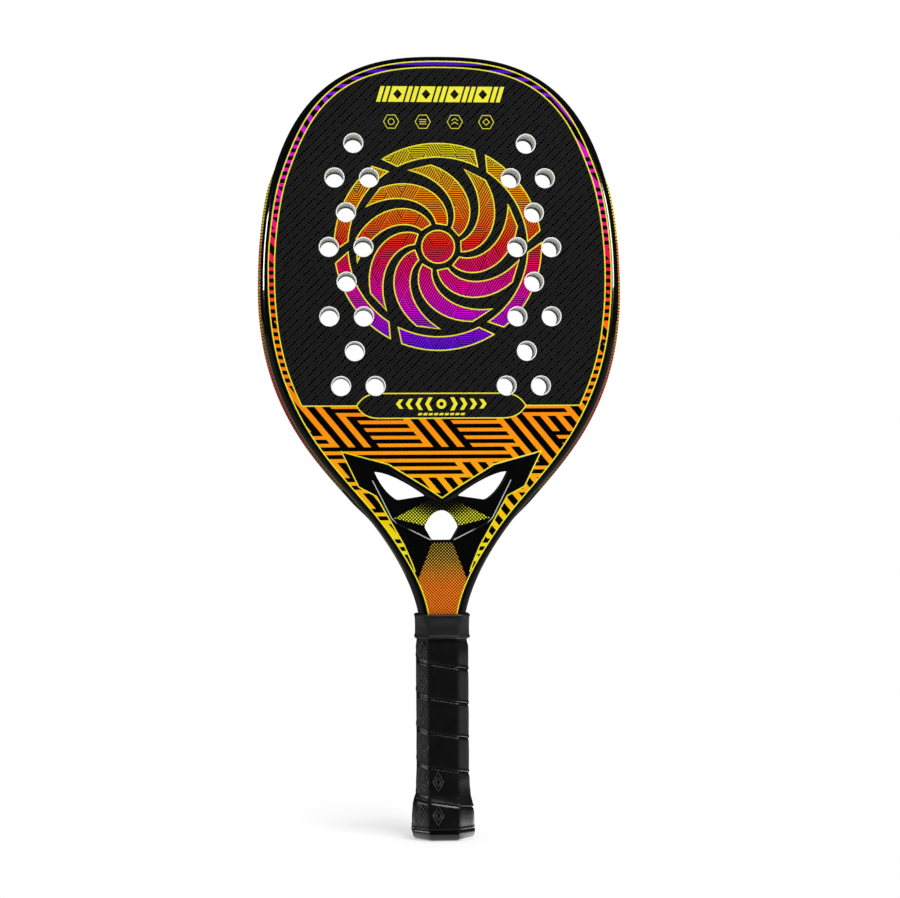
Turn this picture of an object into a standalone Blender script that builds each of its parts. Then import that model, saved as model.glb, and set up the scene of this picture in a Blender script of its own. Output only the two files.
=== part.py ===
"""A beach tennis racket, modelled piece by piece.

+Z runs from the butt to the top of the head, X lies across the face and Y goes through the
thickness, with the front face towards -Y. The origin is the middle of the butt's flat end.
Sizes are in metres. Heights of the head, throat and neck hang from the top of the racket, and
the butt cap's heights stand on the butt, so a change of length goes into the grip between.
"""

import math

import bmesh
import bpy
from mathutils import Matrix, Vector
from mathutils.geometry import closest_point_on_tri

# Whole racket
LENGTH = 0.500
THICKNESS = 0.022
GAP = 0.0003

# Half outline of the moulded frame, without the side rib: three curve spans
HEAD_HALF_WIDTH = 0.1150
WIDEST_DROP = 0.150
CROWN_REACH = 0.0415
SHOULDER_REACH = 0.149
HIP_REACH = 0.0765
FORK_DROP = 0.2896
FORK_HALF_WIDTH = 0.052
FORK_LEAN = math.radians(40.5)
FORK_REACH_UP = 0.039
FORK_REACH_DOWN = 0.057
NECK_DROP = 0.364
NECK_REACH = 0.002
SPAN_STEPS = (13, 12, 11)

# Rib along both sides of the frame
RIB_PROUD = 0.0013
RIB_HALF_HEIGHT = 0.0035
RIB_TOP_DROP = 0.069
RIB_END_DROP = 0.300
RIB_RUN_IN = 0.004
RIB_RUN_OUT = 0.016

# Hollow frame tube, its width seen from the front, and its wall
TUBE_WIDTH_HEAD = 0.013
TUBE_WIDTH_FORK = 0.0148
TUBE_WIDTH_WAIST = 0.008
TUBE_WIDTH_HANDLE = 0.0095
TUBE_WALL = 0.0016
TUBE_CORNER = 0.0010
TUBE_WIDEN_DROP = 0.245
TUBE_FORK_DROP = 0.281
TUBE_WAIST_DROP = 0.320

# Rounded border outside the skins, and the flat side left between the two roundings
BORDER_TOP = 0.0043
BORDER_SIDE = 0.0059
BORDER_SIDE_DROP = 0.075
SIDE_FLAT_HALF = 0.0050

# Skins and core
SKIN = 0.0009
HOLE_DIAMETER = 0.013
HOLE_SIDES = 16
HOLE_TOP_DROP = 0.0567
HOLE_ROW_PITCH = 0.02215
HOLE_PAIR_PITCH = 0.022
HOLE_REACH = (0.0552, 0.0563, 0.0601, 0.0601, 0.0599, 0.0600, 0.0549, 0.0528)

# Throat bridge: heights are from the apex of its V, insets are from the frame's outline
APEX_DROP = 0.2838
BRIDGE_EDGE = ((0.0, 0.0), (0.0115, 0.0075), (0.0342, 0.0215))
BRIDGE_TIP = (0.0192, 0.0292)
BRIDGE_SIDE = ((0.0121, 0.0083), (0.0179, 0.0024), (0.0129, -0.0155), (0.0109, -0.0293), (0.0086, -0.0424),
               (0.0078, -0.0462))
BRIDGE_SEAT_ABOVE_NECK = 0.0055
EYE_OUTER = (0.0294, 0.0176)
EYE_UPPER = (0.0410, 0.0173)
EYE_INNER = (0.0100, 0.0021)
EYE_LOWER = (0.0280, -0.0007)
EYE_CHEEK = (0.0238, 0.0048)
PORT_TOP = -0.0072
PORT_SHOULDER = (0.0070, -0.0072)
PORT_SIDE = (0.01125, -0.0179)
PORT_BASE = (0.0064, -0.0264)
SOCKET_DEPTH = 0.0026
FLANK_DEPTH = 0.0014
SOCKET_RIDGE = ((0.0234, 0.0119), (0.0147, -0.0120), (0.0152, -0.0152))
SOCKET_RIM = ((0.0074, -0.0260), (0.0009, -0.0070), (0.0009, -0.0028), (0.0120, 0.0050), (0.0340, 0.0185),
              (0.0455, 0.0215))
SOCKET_FLOOR = ((0.0360, 0.0125), (0.0150, 0.0035), (0.0265, -0.0030), (0.0100, -0.0120))
FLANK_RIM = ((0.0278, -0.0178), (0.0092, -0.0274), (0.0148, -0.0480), (0.0165, -0.0430), (0.0224, -0.0305))
FLANK_FLOOR = ((0.0200, -0.0262), (0.0155, -0.0375))

# Bare handle: an octagon round the two legs and the filler
HANDLE_HALF_WIDTH = 0.0142
HANDLE_FLAT_X = 0.0086
HANDLE_FLAT_Y = 0.0058
EDGE_SOFTENING = 0.0008

# Butt cap
CAP_HALF_WIDTH = 0.0200
CAP_HALF_DEPTH = 0.0167
CAP_FLAT_X = 0.0104
CAP_FLAT_Y = 0.0092
CAP_RIM_HEIGHT = 0.0070
CAP_EDGE = 0.0030
CAP_FLOOR = 0.0060
CAP_SKIRT_HEIGHT = 0.0380
CAP_SKIRT_WALL = 0.0015
CAP_SKIRT_PROUD = 0.0004
CAP_FLARE = 0.0027
CAP_FLARE_HEIGHT = 0.0285
CAP_FLARE_BEND = 3.4
CAP_DISH_RADIUS = 0.0075
CAP_DISH_DEPTH = 0.0008

# Rivet that pins the cap's skirt to the filler, from front to back
RIVET_HEIGHT = 0.0335
RIVET_SHANK = 0.0020
RIVET_HEAD = 0.0036
RIVET_HEAD_THICKNESS = 0.0006

# Grip tape, wound up the handle with each turn over the edge of the one below
TAPE_THICKNESS = 0.0018
TAPE_TOP_THICKNESS = 0.0009
TAPE_THIN_FROM = 0.0138
TAPE_THIN_OVER = 0.0035
TAPE_SEAT = 0.0005
TAPE_PITCH = 0.0218
TAPE_SCARF = 1.6
TAPE_SEAM = 0.0010
TAPE_LIP = 0.0004
TAPE_TOP_MARGIN = 0.0006
TAPE_FIRST_WIDTH = 0.0038
TAPE_FIRST_SPOKE = 4
TAPE_ROWS = 6
TAPE_LEAST_GAP = 0.0004

# Finishing tape round the top end of the grip, and the rubber collar over both
FINISH_THICKNESS = 0.0003
FINISH_HEIGHT = 0.0070
COLLAR_HEIGHT = 0.0155
COLLAR_BELOW_NECK = 0.0086
COLLAR_WALL = 0.0011
COLLAR_LIP = 0.0004
COLLAR_LIP_HEIGHT = 0.0016
COLLAR_ROUND_X = 0.74
COLLAR_ROUND_Y = 0.71

# Colours as linear values
CARBON_BLACK = (0.012, 0.012, 0.013)
GLOSS_BLACK = (0.006, 0.006, 0.007)
FOAM_WHITE = (0.72, 0.72, 0.70)
GRIP_BLACK = (0.018, 0.018, 0.018)
RUBBER_BLACK = (0.022, 0.022, 0.022)
CAP_BLACK = (0.030, 0.030, 0.030)
STEEL_GREY = (0.50, 0.50, 0.52)

HALF = THICKNESS / 2
REBATE = HALF - SKIN - GAP
APEX = LENGTH - APEX_DROP
NECK_HEIGHT = LENGTH - NECK_DROP
BRIDGE_SEAT_HEIGHT = NECK_HEIGHT + BRIDGE_SEAT_ABOVE_NECK
FAR = 2 * HEAD_HALF_WIDTH


def clear_scene():
    for thing in list(bpy.data.objects):
        bpy.data.objects.remove(thing, do_unlink=True)


def new_collection(name):
    collection = bpy.data.collections.new(name)
    bpy.context.scene.collection.children.link(collection)
    return collection


def material(name, colour, roughness, metallic=0.0):
    made = bpy.data.materials.new(name)
    made.use_nodes = True
    shader = made.node_tree.nodes["Principled BSDF"]
    shader.inputs["Base Color"].default_value = (*colour, 1.0)
    shader.inputs["Roughness"].default_value = roughness
    shader.inputs["Metallic"].default_value = metallic
    made.diffuse_color = (*colour, 1.0)
    return made


def add_object(name, mesh, collection, finish=None):
    thing = bpy.data.objects.new(name, mesh)
    collection.objects.link(thing)
    if finish:
        mesh.materials.append(finish)
    return thing


def mesh_from(name, shape):
    """A closed mesh with its faces pointing out."""
    bmesh.ops.remove_doubles(shape, verts=shape.verts, dist=1e-6)
    bmesh.ops.recalc_face_normals(shape, faces=shape.faces)
    mesh = bpy.data.meshes.new(name)
    shape.to_mesh(mesh)
    shape.free()
    mesh.set_sharp_from_angle(angle=math.radians(40))
    return mesh


def as_cutter(thing):
    thing.hide_render = True
    thing.display_type = "WIRE"
    return thing


def cut(target, cutter):
    change = target.modifiers.new(cutter.name, "BOOLEAN")
    change.operation = "DIFFERENCE"
    change.solver = "EXACT"
    change.object = cutter


def ease(share):
    """A smooth step from 0 to 1."""
    share = min(max(share, 0.0), 1.0)
    return share * share * (3 - 2 * share)


def blend(a, b, share):
    return a + (b - a) * share


# The frame's outline

def bezier(p0, p1, p2, p3, share):
    """A point and its tangent on one curve span."""
    rest = 1 - share
    point = rest ** 3 * p0 + 3 * rest ** 2 * share * p1 + 3 * rest * share ** 2 * p2 + share ** 3 * p3
    along = 3 * rest ** 2 * (p1 - p0) + 6 * rest * share * (p2 - p1) + 3 * share ** 2 * (p3 - p2)
    return point, along.normalized()


def outline_spans():
    """The control points of the three spans, from the crown down to the neck, as (x, z)."""
    crown = Vector((0.0, LENGTH))
    widest = Vector((HEAD_HALF_WIDTH, LENGTH - WIDEST_DROP))
    fork = Vector((FORK_HALF_WIDTH, LENGTH - FORK_DROP))
    neck = Vector((HANDLE_HALF_WIDTH, NECK_HEIGHT))
    lean = Vector((math.sin(FORK_LEAN), math.cos(FORK_LEAN)))
    return (
        (crown, crown + Vector((CROWN_REACH, 0)), widest + Vector((0, SHOULDER_REACH)), widest),
        (widest, widest - Vector((0, HIP_REACH)), fork + lean * FORK_REACH_UP, fork),
        (fork, fork - lean * FORK_REACH_DOWN, neck + Vector((0, NECK_REACH)), neck),
    )


def half_outline(fineness=1):
    """Points and outward normals of the right half, from the crown to the neck."""
    stations = []
    for span, steps in zip(outline_spans(), SPAN_STEPS):
        count = steps * fineness
        first = 0 if not stations else 1
        for step in range(first, count + 1):
            point, along = bezier(*span, step / count)
            stations.append((point, Vector((-along.y, along.x))))
    return stations


FINE_OUTLINE = half_outline(8)


def flank(height):
    """The outline's half width at a height below its widest point."""
    lower = [point for point, normal in FINE_OUTLINE if point.y <= LENGTH - WIDEST_DROP]
    for above, below in zip(lower, lower[1:]):
        if below.y <= height <= above.y:
            return blend(below.x, above.x, (height - below.y) / (above.y - below.y))
    return HANDLE_HALF_WIDTH if height < NECK_HEIGHT + GAP else HEAD_HALF_WIDTH


def border_width(height):
    return blend(BORDER_TOP, BORDER_SIDE, ease((LENGTH - height) / BORDER_SIDE_DROP))


def rib_height(height):
    drop = LENGTH - height
    rise = ease((drop - RIB_TOP_DROP) / RIB_RUN_IN)
    fall = ease((RIB_END_DROP - drop) / RIB_RUN_OUT)
    return RIB_PROUD * rise * fall


def tube_width(height):
    drop = LENGTH - height
    if drop < TUBE_FORK_DROP:
        share = ease((drop - TUBE_WIDEN_DROP) / (TUBE_FORK_DROP - TUBE_WIDEN_DROP))
        return blend(TUBE_WIDTH_HEAD, TUBE_WIDTH_FORK, share)
    share = ease((drop - TUBE_FORK_DROP) / (TUBE_WAIST_DROP - TUBE_FORK_DROP))
    return blend(TUBE_WIDTH_FORK, TUBE_WIDTH_WAIST, share)


def inset_line(inset):
    """The right half of the outline moved in by inset(height), as (x, z), from the crown down."""
    line = [point - normal * inset(point.y) for point, normal in half_outline()]
    line[0].x = 0.0
    return line


def line_above(line, height):
    """The part of a falling line above a height, ending on it."""
    kept = []
    for a, b in zip(line, line[1:]):
        kept.append(a)
        if b.y < height <= a.y:
            kept.append(a.lerp(b, (a.y - height) / (a.y - b.y)))
            return kept
    return kept + [line[-1]]


def line_below(line, height):
    """The part of a falling line below a height, starting on it."""
    for index, (a, b) in enumerate(zip(line, line[1:])):
        if b.y < height <= a.y:
            return [a.lerp(b, (a.y - height) / (a.y - b.y))] + line[index + 1:]
    return []


def offset_polyline(points, distance):
    """An open polyline moved to its left side by a distance, with mitred corners."""
    moved = []
    for index, point in enumerate(points):
        before = points[max(index - 1, 0)]
        after = points[min(index + 1, len(points) - 1)]
        into = (point - before).normalized() if index else (after - point).normalized()
        out = (after - point).normalized() if index < len(points) - 1 else into
        side_in = Vector((-into.y, into.x))
        side_out = Vector((-out.y, out.x))
        mitre = (side_in + side_out).normalized()
        moved.append(point + mitre * distance / max(mitre.dot(side_in), 0.35))
    return moved


def both_halves(right):
    """Closes a right half that starts and ends on the middle plane."""
    left = [Vector((-point.x, point.y)) for point in reversed(right) if point.x > 1e-6]
    return right + left


# Shapes

def flat_solid(name, loops, low, high):
    """A plate from closed loops of (x, z): the first is its edge, the others are holes."""
    curve = bpy.data.curves.new(name, "CURVE")
    curve.dimensions = "2D"
    curve.fill_mode = "BOTH"
    curve.extrude = (high - low) / 2
    for loop in loops:
        spline = curve.splines.new("POLY")
        spline.points.add(len(loop) - 1)
        for place, point in zip(spline.points, loop):
            place.co = (point.x, point.y, 0.0, 1.0)
        spline.use_cyclic_u = True
    guide = bpy.data.objects.new(name + "_outline", curve)
    bpy.context.scene.collection.objects.link(guide)
    graph = bpy.context.evaluated_depsgraph_get()
    mesh = bpy.data.meshes.new_from_object(guide.evaluated_get(graph))
    upright = Matrix.Translation((0, (low + high) / 2, 0)) @ Matrix.Rotation(math.pi / 2, 4, "X")
    mesh.transform(upright)
    bpy.data.objects.remove(guide, do_unlink=True)
    shape = bmesh.new()
    shape.from_mesh(mesh)
    bpy.data.meshes.remove(mesh)
    return mesh_from(name, shape)


def loft(name, rings, closed=False):
    """Joins rings of equal count with quads, and closes the ends with flat caps if they are open."""
    shape = bmesh.new()
    rows = [[shape.verts.new(point) for point in ring] for ring in rings]
    pairs = list(zip(rows, rows[1:]))
    if closed:
        pairs.append((rows[-1], rows[0]))
    for lower, upper in pairs:
        count = len(lower)
        for index in range(count):
            after = (index + 1) % count
            shape.faces.new((lower[index], lower[after], upper[after], upper[index]))
    if not closed:
        shape.faces.new(rows[0])
        shape.faces.new(rows[-1])
    return mesh_from(name, shape)


def octagon(half_width, half_depth, flat_x, flat_y, height):
    """A ring of 16 points: an octagon whose eight corners are each cut a little."""
    ring = []
    slope = Vector((half_width - flat_x, half_depth - flat_y)).normalized() * EDGE_SOFTENING
    quarter = (
        (half_width, flat_y - EDGE_SOFTENING),
        (half_width - slope.x, flat_y + slope.y),
        (flat_x + slope.x, half_depth - slope.y),
        (flat_x - EDGE_SOFTENING, half_depth),
    )
    back = quarter[::-1]
    for sign_x, sign_y, points in ((1, 1, quarter), (-1, 1, back), (-1, -1, quarter), (1, -1, back)):
        for x, y in points:
            ring.append(Vector((sign_x * x, sign_y * y, height)))
    return ring


def gem(name, rim, floor, depth, collection):
    """A cutter with flat facets: the hull of a rim a little above the face and a floor below it."""
    middle = sum(floor, Vector((0, 0))) / len(floor)
    lift = depth * 0.4
    shape = bmesh.new()
    for point in rim:
        raised = point + (point - middle) * lift / depth * 0.35
        shape.verts.new((raised.x, -HALF - lift * 0.35, raised.y))
    for point in floor:
        shape.verts.new((point.x, -HALF + depth, point.y))
    found = bmesh.ops.convex_hull(shape, input=shape.verts)
    inside = [item for item in found["geom_interior"] if isinstance(item, bmesh.types.BMVert)]
    bmesh.ops.delete(shape, geom=inside, context="VERTS")
    return as_cutter(add_object(name, mesh_from(name, shape), collection))


# Frame tube

def head_section(point, normal):
    """Outer and inner loops of the tube across the head or throat."""
    height = point.y
    border = border_width(height)
    width = tube_width(height)
    rib = rib_height(height)
    rise = HALF - SIDE_FLAT_HALF
    outer = [
        (-rib, RIB_HALF_HEIGHT),
        (0.0, SIDE_FLAT_HALF),
        (border * (1 - math.cos(math.radians(30))), SIDE_FLAT_HALF + rise * math.sin(math.radians(30))),
        (border * (1 - math.cos(math.radians(60))), SIDE_FLAT_HALF + rise * math.sin(math.radians(60))),
        (border, HALF),
        (border, REBATE),
        (width - TUBE_CORNER, REBATE),
        (width, REBATE - TUBE_CORNER),
    ]
    ceiling = REBATE - TUBE_WALL
    inner = [
        (TUBE_WALL, SIDE_FLAT_HALF - TUBE_WALL / 2),
        (TUBE_WALL * 2.2, ceiling),
        (width - TUBE_WALL - TUBE_CORNER, ceiling),
        (width - TUBE_WALL, ceiling - TUBE_CORNER),
    ]

    def place(inset, y):
        spot = point - normal * inset
        return Vector((spot.x, y, spot.y))

    return [place(*item) for item in outer], [place(*item) for item in inner]


def leg_section(height, shrink):
    """Outer and inner loops of one leg in the handle: half of the handle's octagon."""
    half_width = HANDLE_HALF_WIDTH - shrink
    half_depth = HALF - shrink
    flat_x = HANDLE_FLAT_X - shrink * 0.4
    flat_y = HANDLE_FLAT_Y - shrink * 0.4
    inner_x = HANDLE_HALF_WIDTH - TUBE_WIDTH_HANDLE
    corner = [(spot.x, spot.y) for spot in octagon(half_width, half_depth, flat_x, flat_y, 0)[:4]]
    edge = inner_x + TUBE_CORNER
    flat_start = corner[3][0]
    outer = corner + [
        (blend(flat_start, edge, 0.35), half_depth),
        (blend(flat_start, edge, 0.70), half_depth),
        (edge, half_depth),
        (inner_x, half_depth - TUBE_CORNER),
    ]
    slope = TUBE_WALL * 0.45
    inner = [
        (half_width - TUBE_WALL, flat_y - slope),
        (flat_x - slope, half_depth - TUBE_WALL),
        (inner_x + TUBE_WALL + slope, half_depth - TUBE_WALL),
        (inner_x + TUBE_WALL, half_depth - TUBE_WALL - slope),
    ]
    return [Vector((x, y, height)) for x, y in outer], [Vector((x, y, height)) for x, y in inner]


def whole_loop(half):
    """Closes a half loop (y > 0) with its mirror image below the middle plane."""
    return half + [Vector((point.x, -point.y, point.z)) for point in reversed(half)]


def tube_stations():
    """Outer and inner loops along the right half of the tube, from the crown to the leg's end."""
    stations = []
    for point, normal in half_outline():
        if point.y > BRIDGE_SEAT_HEIGHT - GAP:
            stations.append(head_section(point, normal))
    blend_top = BRIDGE_SEAT_HEIGHT - 2 * GAP
    blend_base = NECK_HEIGHT
    for share in (0.0, 0.5, 1.0):
        height = blend(blend_top, blend_base, share)
        head = head_section(Vector((flank(height), height)), Vector((1, 0)))
        leg = leg_section(height, 0.0)
        mixed = [[a.lerp(b, ease(share)) for a, b in zip(*pair)] for pair in zip(head, leg)]
        stations.append((mixed[0], mixed[1]))
    shrink = CAP_SKIRT_WALL + GAP - CAP_SKIRT_PROUD
    step = CAP_SKIRT_HEIGHT + GAP
    for height, less in ((step + GAP, 0.0), (step, shrink), (CAP_FLOOR + GAP, shrink)):
        stations.append(leg_section(height, less))
    return stations


def frame_tube(collection, finish):
    """The hollow moulding that runs round the head and down both sides of the handle."""
    right = tube_stations()
    left = [tuple([Vector((-p.x, p.y, p.z)) for p in loop] for loop in station) for station in right[:0:-1]]
    stations = [tuple(whole_loop(loop) for loop in station) for station in left + right]
    shape = bmesh.new()
    rows = [tuple([shape.verts.new(point) for point in loop] for loop in station) for station in stations]
    for (outer_a, inner_a), (outer_b, inner_b) in zip(rows, rows[1:]):
        for here, there in ((outer_a, outer_b), (inner_a, inner_b)):
            for index in range(len(here)):
                after = (index + 1) % len(here)
                shape.faces.new((here[index], here[after], there[after], there[index]))
    for outer, inner in (rows[0], rows[-1]):
        for index in range(len(inner)):
            a, b, c = (outer[(2 * index + more) % len(outer)] for more in range(3))
            here, there = inner[index], inner[(index + 1) % len(inner)]
            shape.faces.new((a, b, here))
            shape.faces.new((b, c, there, here))
    return add_object("frame_tube", mesh_from("frame_tube", shape), collection, finish)


# Plates of the head

def hole_loops():
    """The 24 drilled holes: one and two a side in turn, row by row."""
    loops = []
    for row, reach in enumerate(HOLE_REACH):
        height = LENGTH - HOLE_TOP_DROP - row * HOLE_ROW_PITCH
        shifts = (-HOLE_PAIR_PITCH / 2, HOLE_PAIR_PITCH / 2) if row % 2 else (0.0,)
        for side in (-1, 1):
            for shift in shifts:
                centre = Vector((side * (reach + shift), height))
                turns = [2 * math.pi * step / HOLE_SIDES for step in range(HOLE_SIDES)]
                loops.append([centre + Vector((math.cos(turn), math.sin(turn))) * HOLE_DIAMETER / 2
                              for turn in turns])
    return loops


def bridge_edge():
    """The V on top of the bridge, from its apex to its right tip."""
    tip_height = APEX + BRIDGE_TIP[1]
    tip = Vector((flank(tip_height) - BRIDGE_TIP[0], tip_height))
    return [Vector((x, APEX + rise)) for x, rise in BRIDGE_EDGE] + [tip]


def bridge_side():
    """The right side of the bridge's face, from its tip down to where it meets the border."""
    side = []
    for inset, rise in BRIDGE_SIDE:
        height = APEX + rise
        side.append(Vector((flank(height) - inset, height)))
    return side


def border_line():
    """Edge of the skins and of the bridge's face, a clearance inside the frame's border."""
    return inset_line(lambda height: border_width(height) + GAP)


def wall_line():
    """A clearance inside the tube's inner wall."""
    return inset_line(lambda height: tube_width(height) + GAP)


def skin_outline():
    """Edge of one skin: the border, then up the prong beside the bridge and along its V."""
    beside = bridge_edge() + bridge_side()
    end = beside[-1].y + GAP
    outer = line_above(border_line(), end)
    inner = line_above(offset_polyline(beside, GAP), end)
    inner[0].x = 0.0
    return both_halves(outer + inner[::-1])


def core_outline():
    """Edge of the foam core: inside the tube, and above the bridge's V carried out to the tube."""
    edge = offset_polyline(bridge_edge(), GAP)
    edge[0].x = 0.0
    slope = (edge[-1].y - edge[-2].y) / (edge[-1].x - edge[-2].x)
    wall = wall_line()
    outer = []
    for a, b in zip(wall, wall[1:]):
        outer.append(a)
        height_a = a.y - edge[-1].y - slope * (a.x - edge[-1].x)
        height_b = b.y - edge[-1].y - slope * (b.x - edge[-1].x)
        if height_b < 0 < height_a:
            outer.append(a.lerp(b, height_a / (height_a - height_b)))
            break
    return both_halves(outer + edge[::-1])


def skin(name, front, collection, finish):
    low, high = (-HALF, -HALF + SKIN) if front else (HALF - SKIN, HALF)
    mesh = flat_solid(name, [skin_outline()] + hole_loops(), low, high)
    return add_object(name, mesh, collection, finish)


def core_foam(collection, finish):
    mesh = flat_solid("core_foam", [core_outline()] + hole_loops(), -REBATE, REBATE)
    return add_object("core_foam", mesh, collection, finish)


# Throat bridge

def bridge_outline():
    """Edge of the bridge's face: the V, its sides, then the border down to the seat."""
    side = bridge_edge() + bridge_side()
    below = line_above(line_below(border_line(), side[-1].y), BRIDGE_SEAT_HEIGHT)
    return both_halves(side + below)


def quadratic(a, middle, b, steps):
    """Points on a curve from a up to, but not including, b."""
    shares = [step / steps for step in range(steps)]
    return [a * (1 - s) ** 2 + middle * 2 * s * (1 - s) + b * s ** 2 for s in shares]


def round_corner(before, corner, after, radius):
    a = corner + (before - corner).normalized() * radius
    b = corner + (after - corner).normalized() * radius
    return quadratic(a, corner, b, 2) + [b]


def eye_outline():
    """The slanted opening on the right of the throat."""
    def from_flank(inset, rise):
        return Vector((flank(APEX + rise) - inset, APEX + rise))

    outer = from_flank(*EYE_OUTER)
    upper = from_flank(*EYE_UPPER)
    inner = Vector((EYE_INNER[0], APEX + EYE_INNER[1]))
    lower = from_flank(*EYE_LOWER)
    cheek = from_flank(*EYE_CHEEK)
    top_edge = quadratic(outer, upper, inner, 5)[:5]
    cheek_edge = quadratic(lower, cheek, outer, 4)[1:]
    nose = round_corner(top_edge[-1], inner, lower, 0.0012)
    foot = round_corner(inner, lower, cheek_edge[0], 0.0022)
    return top_edge + nose + foot + cheek_edge


def port_outline():
    """The five-sided opening in the middle of the throat."""
    top = Vector((0.0, APEX + PORT_TOP))
    shoulder = Vector((PORT_SHOULDER[0], APEX + PORT_SHOULDER[1]))
    side = Vector((PORT_SIDE[0], APEX + PORT_SIDE[1]))
    base = Vector((PORT_BASE[0], APEX + PORT_BASE[1]))
    right = quadratic(top, shoulder, side, 4) + [side, base]
    return right + [Vector((-point.x, point.y)) for point in reversed(right[1:])]


def mirrored_copies(cutter, collection):
    """The cutter and its copies across the middle planes, so all four quarters are cut alike."""
    copies = [cutter]
    for label, sign_x, sign_y in (("left", -1, 1), ("back", 1, -1), ("back_left", -1, -1)):
        mesh = cutter.data.copy()
        mesh.transform(Matrix.Diagonal((sign_x, sign_y, 1, 1)))
        if sign_x * sign_y < 0:
            mesh.flip_normals()
        copies.append(as_cutter(add_object(f"{cutter.name}_{label}", mesh, collection)))
    return copies


def throat_bridge(collection, cutters, finish):
    """The sculpted yoke between the legs, with a thin flange over the tube on each face."""
    bridge = add_object("throat_bridge", flat_solid("throat_bridge", [bridge_outline()], -HALF, HALF),
                        collection, finish)
    wall = line_below(wall_line(), APEX + BRIDGE_TIP[1] * 2)
    top, base = wall[0], wall[-1]
    beside = wall + [Vector((base.x, base.y - NECK_HEIGHT / 4)), Vector((FAR, base.y - NECK_HEIGHT / 4)),
                     Vector((FAR, top.y))]
    for sign in (1, -1):
        loop = [Vector((sign * point.x, point.y)) for point in beside]
        name = "tube_clearance_right" if sign > 0 else "tube_clearance_left"
        cutter = as_cutter(add_object(name, flat_solid(name, [loop], -HALF + SKIN, HALF - SKIN), cutters))
        cut(bridge, cutter)
        eye = [Vector((sign * point.x, point.y)) for point in eye_outline()]
        name = "eye_right" if sign > 0 else "eye_left"
        cut(bridge, as_cutter(add_object(name, flat_solid(name, [eye], -THICKNESS, THICKNESS), cutters)))
    port = flat_solid("throat_port", [port_outline()], -THICKNESS, THICKNESS)
    cut(bridge, as_cutter(add_object("throat_port", port, cutters)))
    ridge = [Vector((flank(APEX + rise) - inset, APEX + rise)) for inset, rise in SOCKET_RIDGE]
    socket_rim = ridge + [Vector((x, APEX + rise)) for x, rise in SOCKET_RIM]
    socket_floor = [Vector((x, APEX + rise)) for x, rise in SOCKET_FLOOR]
    flank_rim = [Vector((x, APEX + rise)) for x, rise in FLANK_RIM]
    flank_floor = [Vector((x, APEX + rise)) for x, rise in FLANK_FLOOR]
    for name, rim, floor, depth in (("socket", socket_rim, socket_floor, SOCKET_DEPTH),
                                    ("flank", flank_rim, flank_floor, FLANK_DEPTH)):
        for cutter in mirrored_copies(gem(name, rim, floor, depth, cutters), cutters):
            cut(bridge, cutter)
    return bridge


# Handle

def seat_size(height):
    """Half width, half depth and flats of what the tape is wound on, at a height."""
    rise = min(max((height - CAP_RIM_HEIGHT) / (CAP_FLARE_HEIGHT - CAP_RIM_HEIGHT), 0.0), 1.0)
    flare = 1 - rise ** CAP_FLARE_BEND
    skirt = ease((CAP_SKIRT_HEIGHT + 0.0030 - height) / 0.0030)
    proud = CAP_SKIRT_PROUD * skirt + CAP_FLARE * flare
    flat_x = blend(HANDLE_FLAT_X, CAP_FLAT_X - 0.0010, flare)
    flat_y = blend(HANDLE_FLAT_Y, CAP_FLAT_Y - 0.0012, flare)
    return HANDLE_HALF_WIDTH + proud, HALF + proud, flat_x, flat_y


def handle_filler(collection, cutters, finish):
    """The foam strip between the two legs."""
    side = HANDLE_HALF_WIDTH - TUBE_WIDTH_HANDLE - GAP
    shrink = CAP_SKIRT_WALL + GAP - CAP_SKIRT_PROUD
    step = CAP_SKIRT_HEIGHT + GAP
    top = BRIDGE_SEAT_HEIGHT - GAP
    rings = []
    for height, less in ((CAP_FLOOR + GAP, shrink), (step, shrink), (step + GAP, 0.0), (top, 0.0)):
        depth = HALF - less
        corners = ((side, depth), (-side, depth), (-side, -depth), (side, -depth))
        rings.append([Vector((x, y, height)) for x, y in corners])
    filler = add_object("handle_filler", loft("handle_filler", rings), collection, finish)
    cut(filler, rivet_bore("filler_bore", cutters))
    return filler


def round_bar(name, radius, low, high, height):
    """A closed cylinder along Y at a height on the middle plane."""
    shape = bmesh.new()
    place = Matrix.Translation((0, (low + high) / 2, height)) @ Matrix.Rotation(math.pi / 2, 4, "X")
    bmesh.ops.create_cone(shape, cap_ends=True, segments=12, radius1=radius, radius2=radius,
                          depth=high - low, matrix=place)
    return mesh_from(name, shape)


def rivet_bore(name, cutters):
    bar = round_bar(name, RIVET_SHANK / 2 + GAP, -FAR, FAR, RIVET_HEIGHT)
    return as_cutter(add_object(name, bar, cutters))


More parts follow.
